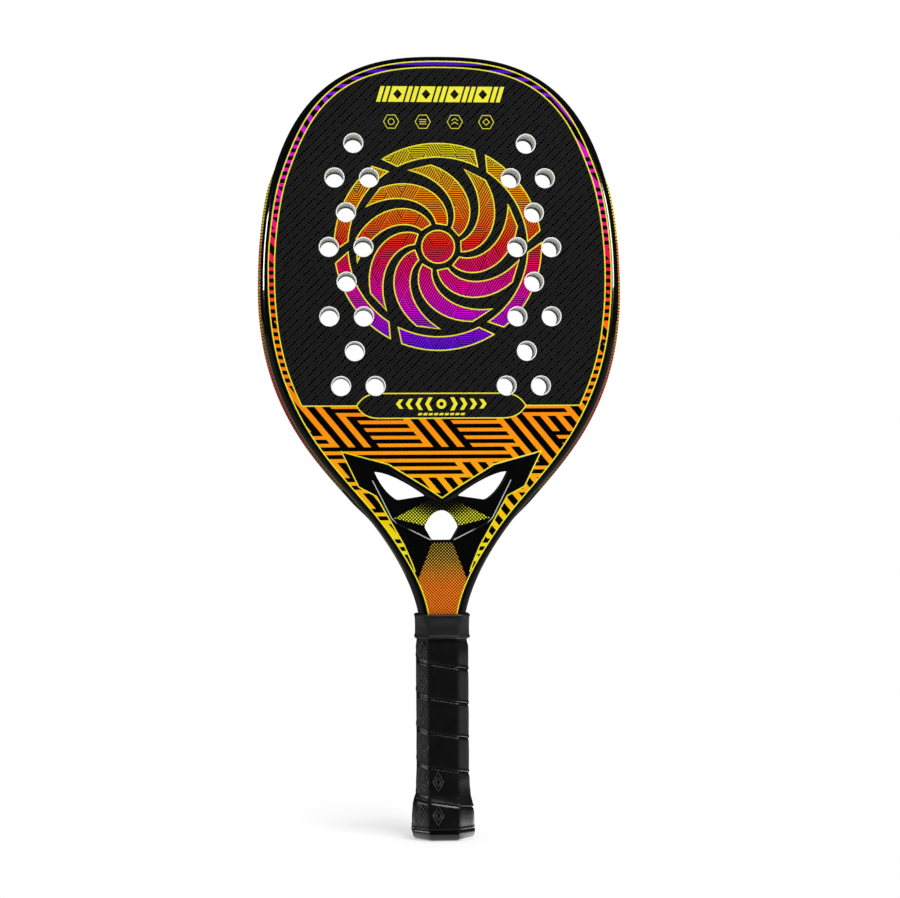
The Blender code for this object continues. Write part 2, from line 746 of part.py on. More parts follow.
def butt_cap(collection, cutters, finish):
    """The flared octagonal end: a rim, a seat for the tape, and a skirt round the legs."""
    rings = [octagon(CAP_HALF_WIDTH - CAP_EDGE, CAP_HALF_DEPTH - CAP_EDGE, CAP_FLAT_X - CAP_EDGE / 2,
                     CAP_FLAT_Y - CAP_EDGE / 2, 0.0)]
    for turn in (30, 60, 90):
        angle = math.radians(turn)
        inward = CAP_EDGE * (1 - math.sin(angle))
        rings.append(octagon(CAP_HALF_WIDTH - inward, CAP_HALF_DEPTH - inward, CAP_FLAT_X - inward / 2,
                             CAP_FLAT_Y - inward / 2, CAP_EDGE * (1 - math.cos(angle))))
    rings.append(octagon(CAP_HALF_WIDTH, CAP_HALF_DEPTH, CAP_FLAT_X, CAP_FLAT_Y, CAP_RIM_HEIGHT - GAP))
    steps = 9
    for step in range(steps + 1):
        height = blend(CAP_RIM_HEIGHT, CAP_FLARE_HEIGHT, step / steps)
        rings.append(octagon(*seat_size(height), height))
    outer_skirt = seat_size(CAP_SKIRT_HEIGHT)
    rings.append(octagon(*outer_skirt, CAP_SKIRT_HEIGHT))
    less = CAP_SKIRT_WALL
    wide, deep, flat_x, flat_y = outer_skirt
    socket = (wide - less, deep - less, flat_x - less * 0.4, flat_y - less * 0.4)
    rings.append(octagon(*socket, CAP_SKIRT_HEIGHT))
    rings.append(octagon(*socket, CAP_FLOOR))
    cap = add_object("butt_cap", loft("butt_cap", rings), collection, finish)
    shape = bmesh.new()
    bmesh.ops.create_cone(shape, cap_ends=True, segments=24, radius1=CAP_DISH_RADIUS, radius2=CAP_DISH_RADIUS,
                          depth=CAP_DISH_DEPTH * 2)
    cut(cap, as_cutter(add_object("cap_dish", mesh_from("cap_dish", shape), cutters)))
    cut(cap, rivet_bore("cap_bore", cutters))
    sink = HALF + CAP_SKIRT_PROUD - RIVET_HEAD_THICKNESS - GAP
    for name, low, high in (("front_sink", -FAR, -sink), ("back_sink", sink, FAR)):
        head = round_bar(name, RIVET_HEAD / 2 + GAP, low, high, RIVET_HEIGHT)
        cut(cap, as_cutter(add_object(name, head, cutters)))
    return cap


def cap_rivet(collection, finish):
    """A rivet from front to back with its two heads let into the skirt."""
    face = HALF + CAP_SKIRT_PROUD
    under = face - RIVET_HEAD_THICKNESS
    profile = ((0.0, face), (RIVET_HEAD / 2, face), (RIVET_HEAD / 2, under), (RIVET_SHANK / 2, under))
    profile += tuple((radius, -y) for radius, y in profile[::-1])
    shape = bmesh.new()
    points = [shape.verts.new((radius, y, RIVET_HEIGHT)) for radius, y in profile]
    edges = [shape.edges.new(pair) for pair in zip(points, points[1:])]
    bmesh.ops.spin(shape, geom=points + edges, cent=(0, 0, RIVET_HEIGHT), axis=(0, 1, 0), angle=2 * math.pi,
                   steps=12, use_merge=True)
    return add_object("cap_rivet", mesh_from("cap_rivet", shape), collection, finish)


# Grip

def tape_top():
    return NECK_HEIGHT - TAPE_TOP_MARGIN


def tape_thickness(height):
    start = NECK_HEIGHT - TAPE_THIN_FROM
    return blend(TAPE_THICKNESS, TAPE_TOP_THICKNESS, ease((height - start) / TAPE_THIN_OVER))


def tape_start():
    """Height of the band's lower edge at its first section, most of it below the rim."""
    return CAP_RIM_HEIGHT + GAP + TAPE_FIRST_WIDTH - TAPE_PITCH + TAPE_SEAM


def tape_section(turn):
    """The closed loop of the tape's section after a number of turns, in height and offset."""
    base = CAP_RIM_HEIGHT + GAP
    top = tape_top()
    low = tape_start() + turn * TAPE_PITCH

    def level(height):
        return min(max(height, base), top)

    edges = []
    for nominal in (low, low + TAPE_PITCH - TAPE_SEAM):
        thick = tape_thickness(nominal)
        foot = nominal + TAPE_SCARF * TAPE_THICKNESS
        edges.append((level(foot - TAPE_SCARF * thick), thick, level(foot)))
    outer = []
    inner = []
    for row in range(TAPE_ROWS + 1):
        share = row / TAPE_ROWS
        height = blend(edges[0][0], edges[1][0], share)
        thick = tape_thickness(height)
        if row == 0:
            thick = edges[0][1] + TAPE_LIP * (1 - ease((height - NECK_HEIGHT + 0.016) / 0.004))
        if row == TAPE_ROWS:
            thick = edges[1][1]
        outer.append((height, TAPE_SEAT + thick))
        inner.append((blend(edges[0][2], edges[1][2], share), TAPE_SEAT))
    return outer + inner[::-1]


def spoke_shares():
    """The share of the way round the handle at which each of the 16 spokes stands."""
    around = octagon(HANDLE_HALF_WIDTH, HALF, HANDLE_FLAT_X, HANDLE_FLAT_Y, 0.0)
    around = around[TAPE_FIRST_SPOKE:] + around[:TAPE_FIRST_SPOKE]
    run = [0.0]
    for here, after in zip(around, around[1:] + around[:1]):
        run.append(run[-1] + (after - here).length)
    return [length / run[-1] for length in run[:-1]]


def tape_ring(step, turn):
    """The section of the tape placed on its spoke of the handle, wound towards -X on the front."""
    spoke = (step + TAPE_FIRST_SPOKE) % 16
    ring = []
    for height, offset in tape_section(turn):
        around = octagon(*seat_size(height), height)
        before, here, after = around[spoke - 1], around[spoke], around[(spoke + 1) % 16]
        edge = (here - before).normalized()
        side = edge + (after - here).normalized()
        out = Vector((side.y, -side.x, 0)).normalized()
        stretch = max(out.dot(Vector((edge.y, -edge.x, 0))), 0.5)
        placed = here + out * offset / stretch
        ring.append(Vector((-placed.x, placed.y, placed.z)))
    return ring


def tape_rings():
    end = tape_top() - TAPE_FIRST_WIDTH - TAPE_TOP_THICKNESS * TAPE_SCARF
    last = (end - tape_start()) / TAPE_PITCH
    shares = spoke_shares()
    turns = [step // 16 + shares[step % 16] for step in range(16 * math.ceil(last))]
    return [tape_ring(step, turn) for step, turn in enumerate(turns) if turn <= last]


def grip_tape(collection, finish):
    """One unbroken band wound up the handle, cut level at both ends."""
    rings = tape_rings()
    tape = add_object("grip_tape", loft("grip_tape", rings), collection, finish)
    least = least_tape_gap(rings) * 1000
    print(f"grip tape: {len(rings) / 16:.2f} turns, least gap to itself {least:.3f} mm,"
          f" wanted over {TAPE_LEAST_GAP * 1000:.2f} mm")
    return tape


def least_tape_gap(rings):
    """The least distance between the upper edge of each turn and the lower edge of the next."""
    upper_edges = [(ring[TAPE_ROWS], ring[TAPE_ROWS + 1]) for ring in rings]
    lower_edges = [(ring[0], ring[-1]) for ring in rings]
    least = TAPE_PITCH
    for step in range(len(rings) - 16):
        for near, far, start in ((upper_edges[step], lower_edges, step + 15),
                                 (lower_edges[step + 16], upper_edges, step - 1)):
            points = [near[0].lerp(near[1], share / 4) for share in range(5)]
            for index in range(max(start, 0), min(start + 2, len(rings) - 1)):
                (a, b), (c, d) = far[index], far[index + 1]
                for triangle in ((a, b, c), (b, d, c), (a, b, d), (a, d, c)):
                    for point in points:
                        least = min(least, (closest_point_on_tri(point, *triangle) - point).length)
    return least


def sleeve_size(offset):
    """An octagon round the bare handle, a distance out from it."""
    grow = offset * math.tan(math.radians(22.5))
    return HANDLE_HALF_WIDTH + offset, HALF + offset, HANDLE_FLAT_X + grow, HANDLE_FLAT_Y + grow


def finishing_tape(collection, finish):
    """The thin tape that holds the grip's cut end, hidden by the collar."""
    inside = TAPE_SEAT + TAPE_TOP_THICKNESS + GAP
    top = tape_top() - GAP
    low = top - FINISH_HEIGHT
    rings = [octagon(*sleeve_size(inside), low), octagon(*sleeve_size(inside + FINISH_THICKNESS), low),
             octagon(*sleeve_size(inside + FINISH_THICKNESS), top), octagon(*sleeve_size(inside), top)]
    return add_object("finishing_tape", loft("finishing_tape", rings, closed=True), collection, finish)


def rubber_collar(collection, finish):
    """The stretched ring over the joint between grip and throat, with a lip at each end."""
    low = NECK_HEIGHT - COLLAR_BELOW_NECK
    top = low + COLLAR_HEIGHT
    inside = TAPE_SEAT + TAPE_TOP_THICKNESS + 2 * GAP + FINISH_THICKNESS
    body = sleeve_size(inside + COLLAR_WALL)
    bore = sleeve_size(inside)
    neck = flank(top) + GAP
    mouth = (neck, HALF + GAP, neck * COLLAR_ROUND_X, HALF * COLLAR_ROUND_Y)
    top_depth = HALF + GAP + COLLAR_WALL * 1.5
    top_body = (body[0], top_depth, body[0] * COLLAR_ROUND_X * 0.93, body[1] * COLLAR_ROUND_Y * 0.86)
    shoulder = low + COLLAR_BELOW_NECK

    def grown(size, more):
        return size[0] + more, size[1] + more, size[2] + more / 2, size[3] + more / 2

    rings = [
        octagon(*bore, low),
        octagon(*grown(body, COLLAR_LIP * 0.3), low),
        octagon(*grown(body, COLLAR_LIP), low + COLLAR_LIP_HEIGHT * 0.4),
        octagon(*grown(body, COLLAR_LIP), low + COLLAR_LIP_HEIGHT * 0.8),
        octagon(*body, low + COLLAR_LIP_HEIGHT * 1.3),
        octagon(*top_body, top - COLLAR_LIP_HEIGHT * 1.2),
        octagon(*grown(top_body, COLLAR_LIP), top - COLLAR_LIP_HEIGHT * 0.8),
        octagon(*grown(top_body, COLLAR_LIP), top - COLLAR_LIP_HEIGHT * 0.3),
        octagon(*grown(top_body, COLLAR_LIP * 0.2), top),
        octagon(*mouth, top),
        octagon(*bore, shoulder + GAP),
    ]
    return add_object("rubber_collar", loft("rubber_collar", rings, closed=True), collection, finish)


def build():
    clear_scene()
    racket = new_collection("beach_tennis_racket")
    cutters = new_collection("cutters")
    gloss = material("frame_lacquer", GLOSS_BLACK, 0.18)
    frame_tube(racket, gloss)
    core_foam(racket, material("core_foam", FOAM_WHITE, 0.75))
    skin("front_skin", True, racket, material("front_carbon", CARBON_BLACK, 0.40))
    skin("back_skin", False, racket, material("back_carbon", CARBON_BLACK, 0.40))
    throat_bridge(racket, cutters, material("bridge_lacquer", GLOSS_BLACK, 0.16))
    handle_filler(racket, cutters, material("filler_foam", FOAM_WHITE, 0.80))
    butt_cap(racket, cutters, material("cap_plastic", CAP_BLACK, 0.45))
    cap_rivet(racket, material("rivet_steel", STEEL_GREY, 0.35, 1.0))
    grip_tape(racket, material("grip_polyurethane", GRIP_BLACK, 0.45))
    finishing_tape(racket, material("finishing_tape", GRIP_BLACK, 0.30))
    rubber_collar(racket, material("collar_rubber", RUBBER_BLACK, 0.50))


build()
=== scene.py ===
"""The looks of a beach tennis racket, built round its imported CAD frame.

+Z runs from the butt to the top of the head, X lies across the face and the front face looks
towards -Y. Sizes are in metres, and a finish reckons its patterns in millimetres.
"""

import sys

import logging
import math
from collections.abc import Callable, Sequence
from dataclasses import astuple, dataclass, field
from enum import Enum, IntEnum
from functools import cached_property

import bmesh
import bpy
import numpy as np
from bpy.types import ID, Material, Mesh, NodeSocket, NodeTree, Object
from mathutils import Matrix, Vector, noise
from mathutils.geometry import delaunay_2d_cdt


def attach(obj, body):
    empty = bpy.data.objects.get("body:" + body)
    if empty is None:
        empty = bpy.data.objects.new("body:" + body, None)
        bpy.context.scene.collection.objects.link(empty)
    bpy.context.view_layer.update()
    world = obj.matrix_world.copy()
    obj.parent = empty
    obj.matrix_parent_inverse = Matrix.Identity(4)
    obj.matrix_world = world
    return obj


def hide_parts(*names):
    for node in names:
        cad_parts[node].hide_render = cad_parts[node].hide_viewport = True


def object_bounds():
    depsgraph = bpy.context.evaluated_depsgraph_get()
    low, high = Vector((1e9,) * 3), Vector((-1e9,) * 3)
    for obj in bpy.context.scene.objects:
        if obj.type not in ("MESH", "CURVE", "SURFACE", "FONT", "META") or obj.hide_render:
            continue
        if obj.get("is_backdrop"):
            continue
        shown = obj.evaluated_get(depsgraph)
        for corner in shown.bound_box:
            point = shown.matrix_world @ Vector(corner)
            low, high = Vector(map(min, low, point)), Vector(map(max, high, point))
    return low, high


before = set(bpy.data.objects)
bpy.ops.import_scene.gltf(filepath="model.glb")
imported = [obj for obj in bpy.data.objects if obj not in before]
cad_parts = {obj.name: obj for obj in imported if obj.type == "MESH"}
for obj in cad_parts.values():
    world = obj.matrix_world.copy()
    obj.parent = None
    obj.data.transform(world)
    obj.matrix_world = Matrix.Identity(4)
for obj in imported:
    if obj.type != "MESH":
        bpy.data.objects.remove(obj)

LOG = logging.getLogger("racket")

# In metres: a millimetre, the room between pieces, half the head's thickness, and a face's.
MM = 0.001
GAP = 0.0003
HALF = 0.011
SKIN = 0.0009

Line = list[Vector]
Pair = tuple[float, float]
Pairs = tuple[Pair, ...]


class Side(Enum):
    """The two faces of the racket, with the way each looks along Y."""

    FRONT = -1
    BACK = 1


class Print(IntEnum):
    """The finishes of a printed face, in the order of its slots."""

    STRIPES = 0
    CARBON = 1
    MEDALLION = 2
    INK = 3


def ease(share: float) -> float:
    """A smooth step from 0 to 1."""
    share = min(max(share, 0.0), 1.0)
    return share * share * (3 - 2 * share)


def blend(a: float, b: float, share: float) -> float:
    """The value a share of the way from a to b."""
    return a + (b - a) * share


def bell(distance: float, height: float, width: float) -> float:
    """A bump of some height that has all but died away at twice its width."""
    return height * math.exp(-((distance / width) ** 2))


def ripple(spot: Vector, height: float, across: float, along: float) -> float:
    """Smooth noise of -1 to 1 at a point, by the lumps in a metre across and along the handle."""
    return noise.noise(Vector((spot.x * across, spot.y * across, height * along)))


def mirrored(line: Line) -> Line:
    """The line's mirror image across the middle plane, run the other way."""
    return [Vector((-point.x, point.y)) for point in reversed(line)]


def both_halves(right: Line) -> Line:
    """A closed line from its right half, with no point of the middle plane twice."""
    return right + [point for point in mirrored(right) if point.x < -1e-6]


def parted(line: Line, height: float) -> tuple[Line, Line]:
    """Parts a falling line at a height.

    Args:
        line: Points as (x, z), from the top down.
        height: Where the line is cut.

    Returns:
        The parts above and below, each with the point on the cut.
    """
    for index, (a, b) in enumerate(zip(line, line[1:])):
        if b.y < height <= a.y:
            cut = a.lerp(b, (a.y - height) / (a.y - b.y))
            return line[: index + 1] + [cut], [cut] + line[index + 1 :]
    return line, []


def offset_line(points: Line, distance: float) -> Line:
    """An open line moved to its left by a distance, with mitred corners.

    Args:
        points: The line.
        distance: How far it moves.

    Returns:
        The moved line.
    """
    moved = []
    for index, point in enumerate(points):
        before = points[max(index - 1, 0)]
        after = points[min(index + 1, len(points) - 1)]
        into = (point - before).normalized() if index else (after - point).normalized()
        out = (after - point).normalized() if index < len(points) - 1 else into
        side = Vector((-into.y, into.x))
        mitre = (side + Vector((-out.y, out.x))).normalized()
        moved.append(point + mitre * distance / max(mitre.dot(side), 0.35))
    return moved


def curved(a: Vector, middle: Vector, b: Vector, steps: int) -> Line:
    """Points on a quadratic curve from a up to, but not including, b."""
    shares = (step / steps for step in range(steps))
    return [a * (1 - s) ** 2 + middle * 2 * s * (1 - s) + b * s**2 for s in shares]


def rounded(before: Vector, corner: Vector, after: Vector, reach: float, steps: int) -> Line:
    """The points of a corner between two others, rounded off within a reach of it."""
    start, end = (corner + (point - corner).normalized() * reach for point in (before, after))
    return curved(start, corner, end, steps) + [end]


def circle(centre: Vector, radius: float, steps: int) -> Line:
    """A closed ring of points round a centre."""
    turns = (math.tau * step / steps for step in range(steps))
    return [centre + Vector((math.cos(turn), math.sin(turn))) * radius for turn in turns]


@dataclass(frozen=True)
class Outline:
    """The moulded frame's outline and the sizes that run along it, as in the CAD source."""

    length: float = 0.500
    half_width: float = 0.1150
    widest_drop: float = 0.150
    crown_reach: float = 0.0400
    shoulder_reach: float = 0.1475
    hip_reach: float = 0.0765
    fork_drop: float = 0.2896
    fork_half_width: float = 0.052
    fork_lean: float = math.radians(40.5)
    fork_reach_up: float = 0.039
    fork_reach_down: float = 0.057
    neck_height: float = 0.136
    neck_half_width: float = 0.0142
    neck_reach: float = 0.002
    steps: int = 56
    tube_widths: Pairs = ((0.0, 0.0130), (0.245, 0.0130), (0.281, 0.0148), (0.320, 0.0080))
    border_widths: Pairs = (
        (0.0, 0.0034), (0.060, 0.0052), (0.088, 0.0044), (0.123, 0.0044), (0.180, 0.0054),
        (0.216, 0.0055), (0.290, 0.0040), (0.312, 0.0041), (0.350, 0.0052),
    )
    rib_proud: float = 0.0015
    rib_top_drop: float = 0.070
    rib_end_drop: float = 0.300
    rib_run_in: float = 0.017
    rib_run_out: float = 0.016

    @cached_property
    def spans(self) -> tuple[tuple[Vector, ...], ...]:
        """Control points of the three curve spans of the right half, from the crown down.

        Returns:
            Four points for each span.
        """
        crown = Vector((0.0, self.length))
        widest = Vector((self.half_width, self.length - self.widest_drop))
        fork = Vector((self.fork_half_width, self.length - self.fork_drop))
        neck = Vector((self.neck_half_width, self.neck_height))
        lean = Vector((math.sin(self.fork_lean), math.cos(self.fork_lean)))
        reach = Vector((0, self.shoulder_reach))
        return (
            (crown, crown + Vector((self.crown_reach, 0)), widest + reach, widest),
            (widest, widest - Vector((0, self.hip_reach)), fork + lean * self.fork_reach_up, fork),
            (fork, fork - lean * self.fork_reach_down, neck + Vector((0, self.neck_reach)), neck),
        )

    @cached_property
    def stations(self) -> list[tuple[Vector, Vector]]:
        """Points and outward normals of the right half, from the crown to the neck.

        Returns:
            Each point, with its normal.
        """
        found = []
        for p0, p1, p2, p3 in self.spans:
            for step in range(1 if found else 0, self.steps + 1):
                s = step / self.steps
                r = 1 - s
                point = r**3 * p0 + 3 * r**2 * s * p1 + 3 * r * s**2 * p2 + s**3 * p3
                along = r**2 * (p1 - p0) + 2 * r * s * (p2 - p1) + s**2 * (p3 - p2)
                along.normalize()
                found.append((point, Vector((-along.y, along.x))))
        return found

    def flank(self, height: float) -> float:
        """The half width at a height below the widest point.

        Args:
            height: The height.

        Returns:
            The half width.
        """
        lower = [point for point, _ in self.stations if point.y <= self.length - self.widest_drop]
        for above, below in zip(lower, lower[1:]):
            if below.y <= height <= above.y:
                return blend(below.x, above.x, (height - below.y) / (above.y - below.y))
        return self.neck_half_width if height < self.neck_height + MM else self.half_width

    def _width(self, stops: Pairs, height: float) -> float:
        """A width that changes smoothly from stop to stop.

        Args:
            stops: Drops from the crown, each with the width there.
            height: Where the width is wanted.

        Returns:
            The width.
        """
        drop = self.length - height
        for (above, wide), (below, wide_below) in zip(stops, stops[1:]):
            if drop <= below:
                return blend(wide, wide_below, ease((drop - above) / (below - above)))
        return stops[-1][1]

    def border(self, height: float) -> float:
        """Width of the rounded border outside the faces, at a height."""
        return self._width(self.border_widths, height)

    def tube(self, height: float) -> float:
        """Width of the tube as seen from the front, at a height."""
        return self._width(self.tube_widths, height)

    def rib(self, height: float) -> float:
        """How far the side rib stands out, at a height."""
        rise, fall = self.length - height - self.rib_top_drop, self.rib_end_drop - self.length + height
        return self.rib_proud * ease(rise / self.rib_run_in) * ease(fall / self.rib_run_out)

    def _moved_in(self, width: Callable[[float], float], more: float) -> Line:
        """The right half of the outline, moved in by a width at each height and by some more."""
        line = [point - normal * (width(point.y) + more) for point, normal in self.stations]
        return [Vector((0.0, line[0].y))] + line[1:]

    def inset_line(self, more: float) -> Line:
        """The right half of the border line, moved in by some more."""
        return self._moved_in(self.border, more)

    def wall_line(self) -> Line:
        """The right half of the tube's inner wall, with its clearance."""
        return self._moved_in(self.tube, GAP)


@dataclass(frozen=True)
class Yoke:
    """The lines of the throat bridge: heights from its apex, insets from the frame's outline."""

    outline: Outline
    apex: float = 0.2162
    seat: float = 0.1415
    edge_points: Pairs = ((0.0, 0.0), (0.0115, 0.0075), (0.0342, 0.0215))
    tip: Pair = (0.0192, 0.0292)
    side_points: Pairs = (
        (0.0121, 0.0083), (0.0179, 0.0024), (0.0129, -0.0155), (0.0109, -0.0293), (0.0086, -0.0424),
        (0.0078, -0.0462),
    )

    def at(self, inset: float, rise: float) -> Vector:
        """A point by its inset from the outline and its height above the apex."""
        height = self.apex + rise
        return Vector((self.outline.flank(height) - inset, height))

    def from_apex(self, points: Pairs) -> Line:
        """Points given by x and by their height above the apex."""
        return [Vector((x, self.apex + rise)) for x, rise in points]

    def edge(self) -> Line:
        """The V on top of the bridge, from its apex to its right tip."""
        return self.from_apex(self.edge_points) + [self.at(*self.tip)]

    def side(self) -> Line:
        """The right side of its face, from under the tip to where it meets the border."""
        return [self.at(*point) for point in self.side_points]

    def beside(self) -> Line:
        """The V and the right side, from the apex to the border."""
        return self.edge() + self.side()

    def face(self) -> Line:
        """Edge of the bridge's face, closed."""
        _, border = parted(self.outline.inset_line(GAP), self.side()[-1].y)
        return both_halves(self.beside() + parted(border, self.seat)[0])


@dataclass(frozen=True)
class Holes:
    """The 24 drilled holes: one and two a side in turn, row by row."""

    top: float = 0.4433
    row_pitch: float = 0.02215
    pair_pitch: float = 0.022
    radius: float = 0.0064
    reach: tuple[float, ...] = (0.0552, 0.0563, 0.0601, 0.0601, 0.0599, 0.0600, 0.0549, 0.0528)
    margin: float = 0.00012
    fine_step: float = 0.0004

    @cached_property
    def centres(self) -> list[Vector]:
        """The middle of each hole, as (x, z).

        Returns:
            The middles, row by row.
        """
        found = []
        for row, reach in enumerate(self.reach):
            height = self.top - row * self.row_pitch
            shifts = (-self.pair_pitch / 2, self.pair_pitch / 2) if row % 2 else (0.0,)
            found += [Vector((side * (reach + more), height)) for side in (-1, 1) for more in shifts]
        return found

    def rings(self, steps: int) -> list[Line]:
        """A closed ring for each hole."""
        return [circle(centre, self.radius, steps) for centre in self.centres]

    def cover(self, point: Vector) -> bool:
        """Whether a point lies in a hole or within a margin of it."""
        return any((point - centre).length < self.radius + self.margin for centre in self.centres)

    def spare(self, line: Line) -> list[tuple[Line, bool]]:
        """Cuts a closed printed line where it crosses the holes.

        Args:
            line: The line as (x, z).

        Returns:
            The parts outside the holes, each with whether it is closed.
        """
        fine = []
        for a, b in zip(line, line[1:] + line[:1]):
            count = max(1, math.ceil((b - a).length / self.fine_step))
            fine += [a.lerp(b, step / count) for step in range(count)]
        fine.append(line[0])
        lost = [self.cover(point) for point in fine]
        if not any(lost):
            return [(line, True)]
        if not lost[0]:
            start = lost.index(True)
            fine, lost = fine[start:-1] + fine[: start + 1], lost[start:-1] + lost[: start + 1]
        parts, run = [], []
        for point, gone in zip(fine, lost):
            if gone and len(run) > 2:
                parts.append((run, False))
            run = [] if gone else run + [point]
        return parts + ([(run, False)] if len(run) > 2 else [])


@dataclass(frozen=True)
class Ink:
    """A colour as it shows, in steps of 255."""

    red: float
    green: float
    blue: float

    def linear(self) -> tuple[float, float, float, float]:
        """The same colour as linear values with full alpha."""
        shares = (part / 255 for part in (self.red, self.green, self.blue))
        return (*(s / 12.92 if s <= 0.04045 else ((s + 0.055) / 1.055) ** 2.4 for s in shares), 1.0)


def feed(tree: NodeTree, socket: NodeSocket, value: object) -> None:
    """Links an input to another node's output, or sets its value.

    Args:
        tree: The tree that both are in.
        socket: The input.
        value: An amount, an output, a colour or a plain value.
    """
    source = value.socket if isinstance(value, Amount) else value
    if isinstance(source, NodeSocket):
        tree.links.new(source, socket)
    else:
        socket.default_value = source.linear() if isinstance(source, Ink) else source


Term = "Amount | float"


class Amount:
    """A value in a shader tree that can be reckoned with like a number."""

    def __init__(self, tree: NodeTree, socket: NodeSocket) -> None:
        """Holds a socket and the tree that it is in."""
        self.tree = tree
        self.socket = socket

    def apply(self, operation: str, *others: Term) -> "Amount":
        """Reckons with one Math node.

        Args:
            operation: What the node does.
            others: What it takes besides this value.

        Returns:
            The result.
        """
        node = self.tree.nodes.new("ShaderNodeMath")
        node.operation = operation
        for socket, term in zip(node.inputs, (self, *others)):
            feed(self.tree, socket, term)
        return Amount(self.tree, node.outputs[0])

    def __add__(self, other: Term) -> "Amount":
        """The sum."""
        return self.apply("ADD", other)

    def __sub__(self, other: Term) -> "Amount":
        """The difference."""
        return self.apply("SUBTRACT", other)

    def __mul__(self, other: Term) -> "Amount":
        """The product."""
        return self.apply("MULTIPLY", other)

    def __truediv__(self, other: Term) -> "Amount":
        """The quotient."""
        return self.apply("DIVIDE", other)

    def __lt__(self, other: Term) -> "Amount":
        """1 where this is less than the other, and else 0."""
        return self.apply("LESS_THAN", other)

    def __gt__(self, other: Term) -> "Amount":
        """1 where this is greater than the other, and else 0."""
        return self.apply("GREATER_THAN", other)

    def rest(self) -> "Amount":
        """What is left of 1."""
        return self * -1.0 + 1.0

    def floor(self) -> "Amount":
        """The whole part."""
        return self.apply("FLOOR")

    def fract(self) -> "Amount":
        """The part after the point."""
        return self.apply("FRACT")

    def size(self) -> "Amount":
        """The value without its sign."""
        return self.apply("ABSOLUTE")

    def least(self, other: Term) -> "Amount":
        """The lesser of two."""
        return self.apply("MINIMUM", other)

    def most(self, other: Term) -> "Amount":
        """The greater of two."""
        return self.apply("MAXIMUM", other)

    def held(self) -> "Amount":
        """The value kept between 0 and 1."""
        return self.most(0.0).least(1.0)

    def choose(self, here: "Amount", there: "Amount") -> "Amount":
        """here where this is 1, and there where it is 0."""
        return self * (here - there) + there


Colour = Ink | NodeSocket
Stops = tuple[tuple[float, float, float, float], ...]


class Tree:
    """A node tree that is built node by node."""

    tree: NodeTree

    def node(self, kind: str, settings: dict[str, str], **feeds: object) -> NodeSocket:
        """Adds a node.

        Args:
            kind: The node's type.
            settings: Its own properties.
            feeds: Its inputs, each a socket or a value, named with underscores for blanks.

        Returns:
            The node's first output that is on.
        """
        node = self.tree.nodes.new(kind)
        for key, value in settings.items():
            setattr(node, key, value)
        for key, value in feeds.items():
            feed(self.tree, node.inputs[key.replace("_", " ")], value)
        return next(socket for socket in node.outputs if socket.enabled)


